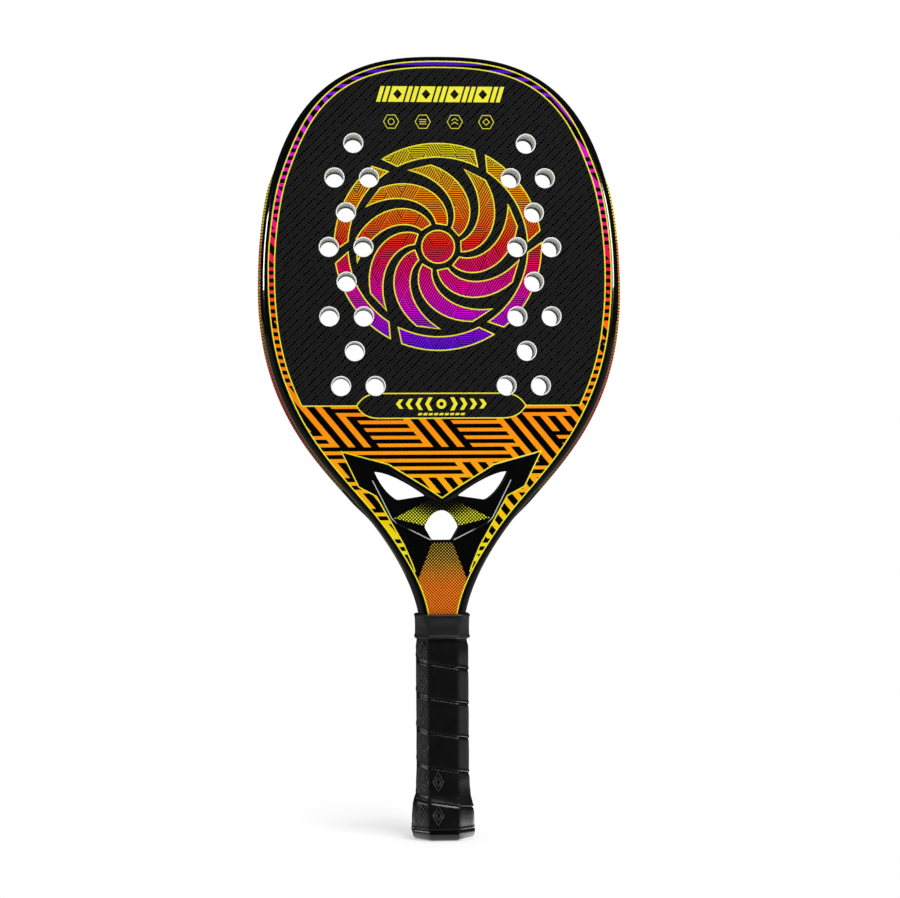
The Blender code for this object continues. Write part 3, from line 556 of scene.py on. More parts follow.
class Bench(Tree):
    """One material's node tree, with the parts that every finish is made from."""

    def __init__(self, name: str) -> None:
        """Starts a material with its Principled shader.

        Args:
            name: The material's name.
        """
        self.material = bpy.data.materials.new(name)
        self.material.use_nodes = True
        self.tree = self.material.node_tree
        self.shader = self.tree.nodes["Principled BSDF"]

    def amount(self, socket: NodeSocket) -> Amount:
        """A socket as something to reckon with."""
        return Amount(self.tree, socket)

    def split(self, vector: NodeSocket) -> tuple[Amount, ...]:
        """Parts a vector.

        Args:
            vector: The vector.

        Returns:
            Its three parts.
        """
        node = self.tree.nodes.new("ShaderNodeSeparateXYZ")
        feed(self.tree, node.inputs[0], vector)
        return tuple(self.amount(socket) for socket in node.outputs)

    @cached_property
    def spot(self) -> NodeSocket:
        """Object coordinates in millimetres, as a vector."""
        source = self.tree.nodes.new("ShaderNodeTexCoord").outputs["Object"]
        return self.node("ShaderNodeVectorMath", {"operation": "SCALE"}, Vector=source, Scale=1 / MM)

    @cached_property
    def place(self) -> tuple[Amount, ...]:
        """Object coordinates in millimetres, one by one."""
        return self.split(self.spot)

    def chart(self, name: str) -> tuple[Amount, Amount]:
        """A UV map whose unit is a metre, as two amounts in millimetres."""
        along, across, _ = self.split(self.node("ShaderNodeUVMap", {"uv_map": name}))
        return along * (1 / MM), across * (1 / MM)

    def vector(self, x: Amount, y: Amount) -> NodeSocket:
        """A vector made from two amounts."""
        return self.node("ShaderNodeCombineXYZ", {}, X=x, Y=y)

    def noise(self, size: float, detail: float = 2.0, along: NodeSocket | None = None) -> Amount:
        """Smooth noise of about 0 to 1 whose lumps are some millimetres wide."""
        feeds = {"Scale": 1 / size, "Detail": detail, "Vector": along or self.spot}
        return self.amount(self.node("ShaderNodeTexNoise", {}, **feeds))

    def chance(self, x: Amount, y: Amount) -> Amount:
        """A fixed random value for each whole pair."""
        flat = {"noise_dimensions": "2D"}
        return self.amount(self.node("ShaderNodeTexWhiteNoise", flat, Vector=self.vector(x, y)))

    def ramp(self, along: Amount, stops: Stops) -> NodeSocket:
        """A colour that changes along an amount.

        Args:
            along: The amount.
            stops: Its values, rising, each with the red, green and blue of the colour there.

        Returns:
            The colour.
        """
        low, high = stops[0][0], stops[-1][0]
        node = self.tree.nodes.new("ShaderNodeValToRGB")
        feed(self.tree, node.inputs["Fac"], (along - low) / (high - low))
        points = node.color_ramp.elements
        for index, (value, *ink) in enumerate(stops):
            share = (value - low) / (high - low)
            point = points[index] if index < 2 else points.new(share)
            point.position = share
            point.color = Ink(*ink).linear()
        return node.outputs["Color"]

    def mix(self, share: Amount, here: Colour, there: Colour) -> NodeSocket:
        """Mixes two colours.

        Args:
            share: How much of the first there is.
            here: The colour where the share is 1.
            there: The colour where it is 0.

        Returns:
            The mixed colour.
        """
        node = self.tree.nodes.new("ShaderNodeMix")
        node.data_type = "RGBA"
        feed(self.tree, node.inputs["Factor"], share)
        for name, colour in (("A", there), ("B", here)):
            feed(self.tree, next(s for s in node.inputs if s.name == name and s.type == "RGBA"), colour)
        return next(s for s in node.outputs if s.type == "RGBA")

    def shade(self, colour: Colour, strength: Amount) -> NodeSocket:
        """A colour made brighter or darker by an amount."""
        return self.node("ShaderNodeVectorMath", {"operation": "SCALE"}, Vector=colour, Scale=strength)

    def set(self, **values: object) -> None:
        """Feeds the shader's sockets, named with underscores for blanks."""
        for key, value in values.items():
            feed(self.tree, self.shader.inputs[key.replace("_", " ")], value)

    def bump(self, height: Amount, depth: float) -> None:
        """Raises the surface by up to a depth in millimetres."""
        self.set(Normal=self.node("ShaderNodeBump", {}, Distance=depth * MM, Height=height))


@dataclass(frozen=True)
class Finish:
    """A material with a name, made on a bench of its own."""

    name: str

    def make(self) -> Material:
        """Builds the material.

        Returns:
            The material, with every node in place.
        """
        bench = Bench(self.name)
        self.work(bench)
        return bench.material

    def work(self, bench: Bench) -> None:
        """Lays the nodes, which each kind of finish does in its own way.

        Args:
            bench: The material to work in.
        """
        raise NotImplementedError


@dataclass(frozen=True)
class CarbonFinish(Finish):
    """Bare carbon cloth under satin lacquer: a two by two twill whose ribs rise to the right."""

    along: float = 3.04
    aside: float = 3.02
    dark: Ink = Ink(1, 1, 1)
    light: Ink = Ink(34, 34, 34)
    roughness: float = 0.36

    def work(self, bench: Bench) -> None:
        """Lays the weave and the lacquer."""
        x, _, z = bench.place
        row = (x - z) / self.aside
        column = (x + z) / self.along + row.floor() * 0.5
        chance = bench.chance(column.floor(), row.floor())
        u, v = (column.fract() - 0.5) * 2.0, (row.fract() - 0.56 + chance * 0.12) * 2.5
        deep = (chance * 0.6 + 0.55) * ((row.floor() * 0.5).fract() * -0.9 + 1.0)
        gap = ((u * u + v * v).rest() * 2.2).held() * deep.held()
        cloud = bench.noise(26.0, 3.0) * 0.2
        colour = bench.mix((gap.rest() - cloud + 0.1).held(), self.light, self.dark)
        bench.set(Base_Color=colour, Roughness=bench.noise(9.0) * 0.12 + self.roughness)
        bench.set(Specular_IOR_Level=0.05)
        bench.bump(gap.rest(), 0.03)


@dataclass(frozen=True)
class StripeFinish(Finish):
    """Level and slanted bars in blocks, printed on the carbon in colours that change with height."""

    pitch: float = 4.88
    bar_share: float = 0.46
    slant: float = 0.83
    slant_pitch: float = 9.9
    block_height: float = 9.76
    block_width: float = 29.7
    level_shift: float = 4.4
    slant_shift: float = 0.9
    slant_top: float = 484.0
    level_share: float = 0.60
    ground: Ink = Ink(6, 4, 4)
    stops: Stops = (
        (172, 240, 234, 30), (200, 242, 208, 8), (216, 250, 180, 8), (240, 252, 158, 12),
        (276, 252, 138, 10), (325, 255, 112, 8), (345, 250, 60, 10), (362, 240, 10, 60),
        (381, 240, 6, 100), (407, 235, 6, 165), (452, 205, 10, 205), (475, 130, 12, 215),
        (490, 72, 12, 190), (496, 60, 14, 175),
    )

    def work(self, bench: Bench) -> None:
        """Lays the bars, level or slanted by the block."""
        x, _, z = bench.place
        level = z + self.level_shift
        across = x + z * self.slant + self.slant_shift
        row = (level / self.block_height).floor()
        shift = bench.chance(row, row + 7.0) * 3.0
        block = (across / self.block_width + shift.floor() * 0.3333).floor()
        slanted = (bench.chance(block + 5.0, row) > self.level_share) * (z < self.slant_top)
        level_bar = (level / self.pitch).fract() < self.bar_share
        slant_bar = (across / self.slant_pitch).fract() < self.bar_share
        bar = slanted.choose(slant_bar, level_bar)
        ink = bench.shade(bench.ramp(z, self.stops), bench.noise(14.0) * 0.16 + 0.92)
        bench.set(Base_Color=bench.mix(bar, ink, self.ground), Roughness=bar * -0.04 + 0.36)
        bench.set(Specular_IOR_Level=0.08)
        bench.bump(bar, 0.02)


@dataclass(frozen=True)
class MedallionFinish(Finish):
    """The print of the big round ornament: fine lines in patches of three directions, in ink that
    changes with height.
    """

    pitch: float = 1.4
    lines: float = 6.0
    share: float = 0.51
    stops: Stops = (
        (311, 84, 20, 230), (322, 146, 8, 236), (334, 206, 4, 214), (348, 236, 2, 172),
        (364, 232, 4, 104), (379, 232, 36, 26), (392, 238, 92, 10), (412, 238, 142, 12),
        (432, 214, 178, 20), (446, 204, 202, 26),
    )

    def work(self, bench: Bench) -> None:
        """Lays the lines, patch by patch."""
        x, _, z = bench.place
        rise, fall = z * 0.5 + x * 0.866, z * 0.5 - x * 0.866
        size = self.pitch * self.lines
        pick = bench.chance((rise / size).floor(), (fall / size).floor())
        way = (pick > 0.62).choose(z, (pick > 0.31).choose(rise, fall))
        line = (way / self.pitch).fract() < self.share
        ink = bench.ramp(z, self.stops)
        gap = bench.shade(ink, bench.noise(30.0) * 0.04 + 0.03)
        bench.set(Base_Color=bench.mix(line, ink, gap), Roughness=line * -0.06 + 0.38)
        bench.set(Specular_IOR_Level=0.08)
        bench.bump(line, 0.02)


@dataclass(frozen=True)
class LineFinish(Finish):
    """The bright yellow ink of the printed lines and marks."""

    stops: Stops = ((150, 248, 236, 30), (500, 236, 232, 60))

    def work(self, bench: Bench) -> None:
        """Lays the grained ink."""
        _, _, z = bench.place
        ink = bench.ramp(z, self.stops)
        grain = bench.noise(3.0)
        bench.set(Base_Color=bench.shade(ink, grain * 0.14 + 0.92), Roughness=grain * 0.1 + 0.34)
        bench.set(Specular_IOR_Level=0.35)
        bench.bump(grain, 0.01)


@dataclass(frozen=True)
class FrameFinish(Finish):
    """Black gloss lacquer with a coloured print along the side rib."""

    chart: str
    black: Ink = Ink(7, 7, 9)
    rule_ink: Ink = Ink(112, 116, 44)
    strip_half: float = 6.2
    strip_low: float = 222.0
    strip_high: float = 432.0
    dash: float = 2.0
    rule_low: float = 168.0
    rule_high: float = 330.0
    rule_start: float = 0.9
    rule_end: float = 2.0
    stops: Stops = (
        (186, 110, 112, 40), (222, 120, 90, 44), (262, 160, 30, 40), (285, 204, 40, 56),
        (300, 210, 66, 62), (312, 196, 96, 46), (330, 228, 156, 44), (350, 232, 146, 36),
        (378, 240, 134, 30), (387, 255, 220, 40), (400, 250, 222, 34), (432, 255, 250, 44),
    )

    def work(self, bench: Bench) -> None:
        """Lays the slanted dashes and the rule beside them."""
        _, _, z = bench.place
        run, depth = bench.chart(self.chart)
        wave, off = bench.noise(4.0), depth.size()
        band = (off < self.strip_half) * (z < self.strip_high) * (z > self.strip_low)
        strip = band * (((run + depth * 0.25 + wave * 1.6) / self.dash).fract() < 0.6)
        beside = (off > self.strip_half + self.rule_start) * (off < self.strip_half + self.rule_end)
        rule = beside * (z < self.rule_high) * (z > self.rule_low)
        ink = bench.ramp(z, self.stops)
        under = bench.mix(band, bench.shade(ink, wave * 0.24), self.black)
        rim = bench.mix(rule, self.rule_ink, under)
        bench.set(Base_Color=bench.mix(strip, ink, rim), Roughness=strip * 0.2 + 0.12)
        bench.set(Specular_IOR_Level=0.05, Coat_Weight=0.26, Coat_Roughness=0.0)
        bench.bump(bench.noise(5.0, 1.0), 0.004)


@dataclass(frozen=True)
class YokeFinish(Finish):
    """Black gloss lacquer with two wedges and a tongue printed in fine dots."""

    black: Ink = Ink(7, 7, 8)
    wedge_pitch: float = 2.14
    tongue_pitch: float = 1.98
    wedge: Pairs = ((0.0, 203.0), (0.0, 216.5), (9.0, 215.2), (30.5, 204.1), (11.6, 199.4))
    tongue: Pairs = ((0.0, 140.0), (0.0, 188.3), (6.6, 188.3), (15.2, 165.8), (9.7, 140.0))
    warm: Ink = Ink(116, 8, 0)
    stops: Stops = (
        (142, 255, 134, 22), (160, 255, 140, 24), (168, 252, 162, 36), (174, 238, 176, 48),
        (189, 206, 178, 60), (197, 248, 250, 46), (206, 228, 230, 46), (215, 96, 98, 26),
    )

    @staticmethod
    def inside(x: Amount, z: Amount, points: Pairs) -> Amount:
        """1 inside a convex shape whose corners run clockwise.

        Args:
            x: The place across.
            z: The place up.
            points: The corners.

        Returns:
            1 inside and 0 outside.
        """
        found = None
        for (ax, az), (bx, bz) in zip(points, (*points[1:], points[0])):
            turn = (x - ax) * (bz - az) - (z - az) * (bx - ax)
            part = turn > 0.0
            found = part if found is None else found * part
        return found

    @staticmethod
    def dots(x: Amount, z: Amount, pitch: float, radius: Amount) -> Amount:
        """1 inside the dots of a grid turned by 45 degrees."""
        u, v = ((x + z) / pitch).fract() - 0.5, ((x - z) / pitch).fract() - 0.5
        return (u * u + v * v) < radius * radius

    def work(self, bench: Bench) -> None:
        """Lays the dots."""
        x, _, z = bench.place
        wide = x.size()
        wedge = self.inside(wide, z, self.wedge)
        tongue = self.inside(wide, z, self.tongue)
        fade = ((z - wide * 0.5 - 199.0) / 10.5).held()
        wedge_dots = self.dots(x, z, self.wedge_pitch, fade * -0.27 + 0.34)
        thin = ((z - 158.0) / 30.0).held()
        tongue_dots = self.dots(x, z, self.tongue_pitch, thin * -0.14 + 0.395)
        ink = bench.ramp(z, self.stops)
        printed = wedge * wedge_dots + tongue * tongue_dots
        under = bench.mix(tongue * ((z - 176.0) / -14.0).held(), self.warm, self.black)
        bench.set(Base_Color=bench.mix(printed.held(), ink, under), Roughness=printed * 0.12 + 0.12)
        bench.set(Specular_IOR_Level=0.2, Coat_Weight=0.1, Coat_Roughness=0.05)


@dataclass(frozen=True)
class RidgeHighlightFinish(Finish):
    """Painted highlights on the raised folds of the throat: a pale colour that stands for their glint, fading
    back to near black where they turn towards the rails.
    """

    # The pale colour is a painted highlight, and the dark one is where that highlight fades out.
    bright: Ink = Ink(196, 196, 200)
    dull: Ink = Ink(26, 26, 28)
    turn_start: float = 18.0
    turn_end: float = 31.5

    def work(self, bench: Bench) -> None:
        """Lays the painted highlight and its fade where the folds turn."""
        wide = bench.place[0].size()
        turn = ((wide - self.turn_start) / 4.0).held() * ((wide - self.turn_end) / -3.0).held()
        bench.set(Base_Color=bench.mix(turn, self.dull, self.bright), Roughness=0.3, Specular_IOR_Level=0.5)


@dataclass(frozen=True)
class FoamFinish(Finish):
    """Pale foam with fine open cells in thin layers, darkened towards the back face by painted shade."""

    light: Ink = Ink(255, 255, 250)
    dark: Ink = Ink(212, 220, 206)
    # A painted shade colour for the far end of the hole walls.
    deep: Ink = Ink(84, 88, 80)

    def work(self, bench: Bench) -> None:
        """Lays the cells, their layers and the painted shade towards the back."""
        _, y, _ = bench.place
        cells = bench.noise(0.8, 3.0)
        layer = bench.noise(1.0, 1.0, bench.vector(y * 1.1, y * 0.3)) * 0.6
        # Painted shade: the foam darkens towards the back face, standing for the shadow deep in each hole.
        edge = ((y - 2.5) / 3.0).held()
        pale = bench.mix((cells * 0.5 + layer).held(), self.light, self.dark)
        bench.set(Base_Color=bench.mix(edge, self.deep, pale), Roughness=0.8)
        bench.set(Specular_IOR_Level=0.2)
        bench.bump(cells, 0.12)


@dataclass(frozen=True)
class SoftFinish(Finish):
    """A dark moulded or pressed material: its two tones, its gloss and its grain."""

    dark: Ink
    light: Ink
    roughness: float
    gloss: float
    grain: float
    grain_depth: float
    crease: float = 18.0
    crease_depth: float = 0.25
    metallic: float = 0.0

    def work(self, bench: Bench) -> None:
        """Lays the fine grain on broad creases."""
        fine = bench.noise(self.grain, 2.0)
        broad = bench.noise(self.crease, 3.0)
        bench.set(Base_Color=bench.mix(broad, self.light, self.dark), Metallic=self.metallic)
        bench.set(Roughness=fine * 0.12 + broad * 0.16 + (self.roughness - 0.14))
        bench.set(Specular_IOR_Level=self.gloss)
        bench.bump(fine * (self.grain_depth / self.crease_depth) + broad, self.crease_depth)


class Part:
    """A sub-assembly of the racket, or what stands round it."""

    def build(self) -> list[Object]:
        """Makes and dresses the part.

        Returns:
            Its pieces.
        """
        raise NotImplementedError


@dataclass
class Solid:
    """A closed mesh object that rides on the racket, and stands for the CAD node of its slot's name."""

    name: str
    slot: str
    stands_in: bool = True

    def finish(self, mesh: Mesh, finishes: Sequence[Material]) -> Object:
        """Makes the mesh a piece of the racket.

        Args:
            mesh: The piece's mesh, in place.
            finishes: Its materials, in the order of its slots.

        Returns:
            The new object.
        """
        piece = bpy.data.objects.new(self.name, mesh)
        bpy.context.scene.collection.objects.link(piece)
        for finish in finishes:
            mesh.materials.append(finish)
        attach(piece, "root")
        if self.stands_in:
            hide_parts(self.slot)
        return piece


def mesh_from(name: str, shape: bmesh.types.BMesh, sharp: float = 40.0) -> Mesh:
    """A smooth-shaded closed mesh with its faces pointing out.

    Args:
        name: The mesh's name.
        shape: The shape, which is freed.
        sharp: The angle in degrees past which an edge stays sharp.

    Returns:
        The mesh.
    """
    bmesh.ops.remove_doubles(shape, verts=shape.verts, dist=1e-7)
    bmesh.ops.recalc_face_normals(shape, faces=shape.faces)
    for face in shape.faces:
        face.smooth = True
    mesh = bpy.data.meshes.new(name)
    shape.to_mesh(mesh)
    shape.free()
    mesh.set_sharp_from_angle(angle=math.radians(sharp))
    return mesh


def loft(name: str, rings: Sequence[Line], closed: bool = False, sharp: float = 40.0) -> Mesh:
    """Joins rings of equal count with quads, and caps the ends if they are open.

    Args:
        name: The mesh's name.
        rings: Closed rings of 3-D points.
        closed: Whether the last ring joins the first.
        sharp: The angle in degrees past which an edge stays sharp.

    Returns:
        The mesh.
    """
    shape = bmesh.new()
    rows = [[shape.verts.new(point) for point in ring] for ring in rings]
    for lower, upper in zip(rows, rows[1:] + rows[:1] if closed else rows[1:]):
        for index in range(len(lower)):
            after = (index + 1) % len(lower)
            shape.faces.new((lower[index], lower[after], upper[after], upper[index]))
    if not closed:
        shape.faces.new(rows[0])
        shape.faces.new(rows[-1])
    return mesh_from(name, shape, sharp)


def evaluated(source: Object, name: str) -> Mesh:
    """The plain mesh of an object with its modifiers, which is then removed.

    Args:
        source: The object.
        name: The mesh's name.

    Returns:
        The mesh.
    """
    graph = bpy.context.evaluated_depsgraph_get()
    mesh = bpy.data.meshes.new_from_object(source.evaluated_get(graph), depsgraph=graph)
    mesh.name = name
    bpy.data.objects.remove(source, do_unlink=True)
    return mesh


@dataclass
class Plate:
    """A flat plate along Y, whose printed side is parted into areas with their own finish."""

    edge: Line
    holes: list[Line]
    low: float
    high: float
    areas: list[tuple[Line, int]] = field(default_factory=list)
    wall_slot: int = 0

    @staticmethod
    def _inside(points: np.ndarray, loop: Line) -> np.ndarray:
        """Which points lie inside a closed line, by counting crossings.

        Args:
            points: The points, one to a row.
            loop: The line.

        Returns:
            True for each point inside.
        """
        inside = np.zeros(len(points), bool)
        for a, b in zip(loop, loop[1:] + loop[:1]):
            if a.y == b.y:
                continue
            crosses = (a.y > points[:, 1]) != (b.y > points[:, 1])
            at = a.x + (points[:, 1] - a.y) * (b.x - a.x) / (b.y - a.y)
            inside ^= crosses & (points[:, 0] < at)
        return inside

    def mesh(self, name: str, side: Side) -> Mesh:
        """Fills the plate with triangles that keep to every line.

        Args:
            name: The mesh's name.
            side: Which side of the plate shows the areas' finishes.

        Returns:
            A closed mesh with a material number on each face.
        """
        loops = [self.edge, *self.holes, *(line for line, _ in self.areas)]
        points, edges = [], []
        for loop in loops:
            first = len(points)
            points += [point / MM for point in loop]
            count = len(loop)
            edges += [(first + index, first + (index + 1) % count) for index in range(count)]
        flat, _, faces, *_ = delaunay_2d_cdt(points, edges, [], 0, 1e-4)
        spots = np.array([tuple(point) for point in flat]) * MM
        corners = np.array(faces)
        middles = spots[corners].mean(axis=1)
        keep = self._inside(middles, self.edge)
        for hole in self.holes:
            keep &= ~self._inside(middles, hole)
        slots = np.zeros(len(corners), int)
        for line, slot in self.areas:
            slots[self._inside(middles, line)] = slot
        shape = bmesh.new()
        near = [shape.verts.new((x, self.low, z)) for x, z in spots]
        far = [shape.verts.new((x, self.high, z)) for x, z in spots]
        used: dict[tuple[int, int], int] = {}
        for (a, b, c), slot, kept in zip(corners.tolist(), slots.tolist(), keep.tolist()):
            if not kept:
                continue
            front = shape.faces.new((near[a], near[b], near[c]))
            back = shape.faces.new((far[c], far[b], far[a]))
            shown, hidden = (front, back) if side is Side.FRONT else (back, front)
            shown.material_index, hidden.material_index = slot, self.wall_slot
            for pair in ((a, b), (b, c), (c, a)):
                used[pair] = used.get(pair, 0) + 1
        for a, b in used:
            if (b, a) not in used:
                shape.faces.new((near[b], near[a], far[a], far[b])).material_index = self.wall_slot
        loose = [vert for vert in shape.verts if not vert.link_faces]
        bmesh.ops.delete(shape, geom=loose, context="VERTS")
        return mesh_from(name, shape)


UPRIGHT = (math.pi / 2, 0.0, 0.0)


class Weave(Tree):
    """A Geometry Nodes tree built node by node, with named inputs and one result."""

    def __init__(self, name: str, sizes: Sequence[str]) -> None:
        """Starts a tree with its source, its sizes and its finish as inputs.

        Args:
            name: The tree's name.
            sizes: The names of its sizes.
        """
        self.tree = bpy.data.node_groups.new(name, "GeometryNodeTree")
        face = self.tree.interface
        face.new_socket("Source", in_out="INPUT", socket_type="NodeSocketGeometry")
        for label in sizes:
            face.new_socket(label, in_out="INPUT", socket_type="NodeSocketFloat")
        face.new_socket("Finish", in_out="INPUT", socket_type="NodeSocketMaterial")
        face.new_socket("Result", in_out="OUTPUT", socket_type="NodeSocketGeometry")
        self.given = self.tree.nodes.new("NodeGroupInput").outputs
        self.made = self.tree.nodes.new("NodeGroupOutput").inputs

    def flat_section(self) -> NodeSocket:
        """A flat rectangle, sized by the inputs Width and Thickness."""
        return self.node("GeometryNodeCurvePrimitiveQuadrilateral", {},
                         Width=self.given["Width"], Height=self.given["Thickness"])

    def close_upright(self, shape: NodeSocket) -> None:
        """Stands a shape laid flat up, moves it along Y by the input Offset, and closes the tree.

        Args:
            shape: The shape.
        """
        shift = self.node("ShaderNodeCombineXYZ", {}, Y=self.given["Offset"])
        feeds = {"Geometry": shape, "Translation": shift, "Rotation": UPRIGHT}
        self.close(self.node("GeometryNodeTransform", {}, **feeds))

    def close(self, shape: NodeSocket) -> None:
        """Makes the shape real, gives it its finish and hands it on.

        Args:
            shape: The shape.
        """
        real = self.node("GeometryNodeRealizeInstances", {}, Geometry=shape)
        dressed = self.node("GeometryNodeSetMaterial", {}, Geometry=real, Material=self.given["Finish"])
        self.tree.links.new(dressed, self.made["Result"])

    def run(self, data: ID, name: str, values: dict[str, object]) -> Mesh:
        """Runs the tree on a curve or mesh.

        Args:
            data: What the tree starts from.
            name: The name of the result.
            values: The tree's inputs by name.

        Returns:
            The result as a plain mesh.
        """
        source = bpy.data.objects.new(name + "_source", data)
        bpy.context.scene.collection.objects.link(source)
        change = source.modifiers.new("weave", "NODES")
        change.node_group = self.tree
        for item in self.tree.interface.items_tree:
            if item.in_out == "INPUT" and item.name in values:
                change[item.identifier] = values[item.name]
        mesh = evaluated(source, name)
        mesh.materials.clear()
        return mesh


@dataclass
class PrintedLines:
    """Thin raised lines of ink on one face, swept along their paths by Geometry Nodes."""

    name: str
    side: Side
    slot: str
    width: float
    lift: float = 0.00004

    def _weave(self) -> Weave:
        """A tree that sweeps a flat section along every path, widened by each point's radius.

        Returns:
            The tree.
        """
        weave = Weave(self.name + "_sweep", ("Width", "Thickness", "Offset"))
        path = weave.node("GeometryNodeSetCurveNormal", {"mode": "Z_UP"}, Curve=weave.given["Source"])
        section, radius = weave.flat_section(), weave.node("GeometryNodeInputRadius", {})
        feeds = {"Curve": path, "Profile_Curve": section, "Scale": radius, "Fill_Caps": True}
        weave.close_upright(weave.node("GeometryNodeCurveToMesh", {}, **feeds))
        return weave

    @staticmethod
    def _mitre(line: Line, closed: bool) -> list[float]:
        """How much wider the section is at each point, so that corners keep their width.

        Args:
            line: The points.
            closed: Whether the line is closed.

        Returns:
            A factor for each point.
        """
        scale = []
        for index, point in enumerate(line):
            if not closed and index in (0, len(line) - 1):
                scale.append(1.0)
                continue
            into = (point - line[index - 1]).normalized()
            out = (line[(index + 1) % len(line)] - point).normalized()
            scale.append(1 / max(math.cos(into.angle(out, 0.0) / 2), 0.45))
        return scale

    def build(self, paths: Sequence[tuple[Line, bool]], ink: Material) -> Object:
        """Sweeps the lines.

        Args:
            paths: Each path as (x, z) points, with whether it is closed.
            ink: The finish of the lines.

        Returns:
            The piece.
        """
        curve = bpy.data.curves.new(self.name + "_paths", "CURVE")
        curve.dimensions = "3D"
        for line, closed in paths:
            spline = curve.splines.new("POLY")
            spline.points.add(len(line) - 1)
            for spot, point, wide in zip(spline.points, line, self._mitre(line, closed)):
                spot.co = (point.x, point.y, 0.0, 1.0)
                spot.radius = wide
            spline.use_cyclic_u = closed
        values = {"Width": self.width, "Thickness": self.lift * 2, "Finish": ink}
        values["Offset"] = self.side.value * HALF
        mesh = self._weave().run(curve, self.name, values)
        return Solid(self.name, self.slot, False).finish(mesh, [ink])


@dataclass
class HoleRims:
    """The pale chamfer round each drilled hole in a face, set out by Geometry Nodes."""

    name: str
    side: Side
    slot: str
    radius: float
    width: float = 0.00065
    depth: float = 0.00030
    steps: int = 56

    def build(self, centres: Sequence[Vector], finish: Material) -> Object:
        """Puts a thin ring round each hole.

        Args:
            centres: The holes' middles as (x, z).
            finish: The rings' finish.

        Returns:
            The piece.
        """
        weave = Weave(self.name + "_rings", ("Radius", "Width", "Thickness", "Offset"))
        radius = weave.given["Radius"]
        loop = weave.node("GeometryNodeCurvePrimitiveCircle", {}, Resolution=self.steps, Radius=radius)
        ring = weave.node("GeometryNodeCurveToMesh", {}, Curve=loop, Profile_Curve=weave.flat_section())
        rings = weave.node("GeometryNodeInstanceOnPoints", {}, Points=weave.given["Source"], Instance=ring)
        weave.close_upright(rings)
        points = bpy.data.meshes.new(self.name + "_places")
        points.from_pydata([(centre.x, centre.y, 0.0) for centre in centres], [], [])
        values = {"Radius": self.radius - self.width / 2, "Width": self.width, "Thickness": self.depth}
        values |= {"Offset": self.side.value * (HALF - self.depth / 2), "Finish": finish}
        return Solid(self.name, self.slot, False).finish(weave.run(points, self.name, values), [finish])


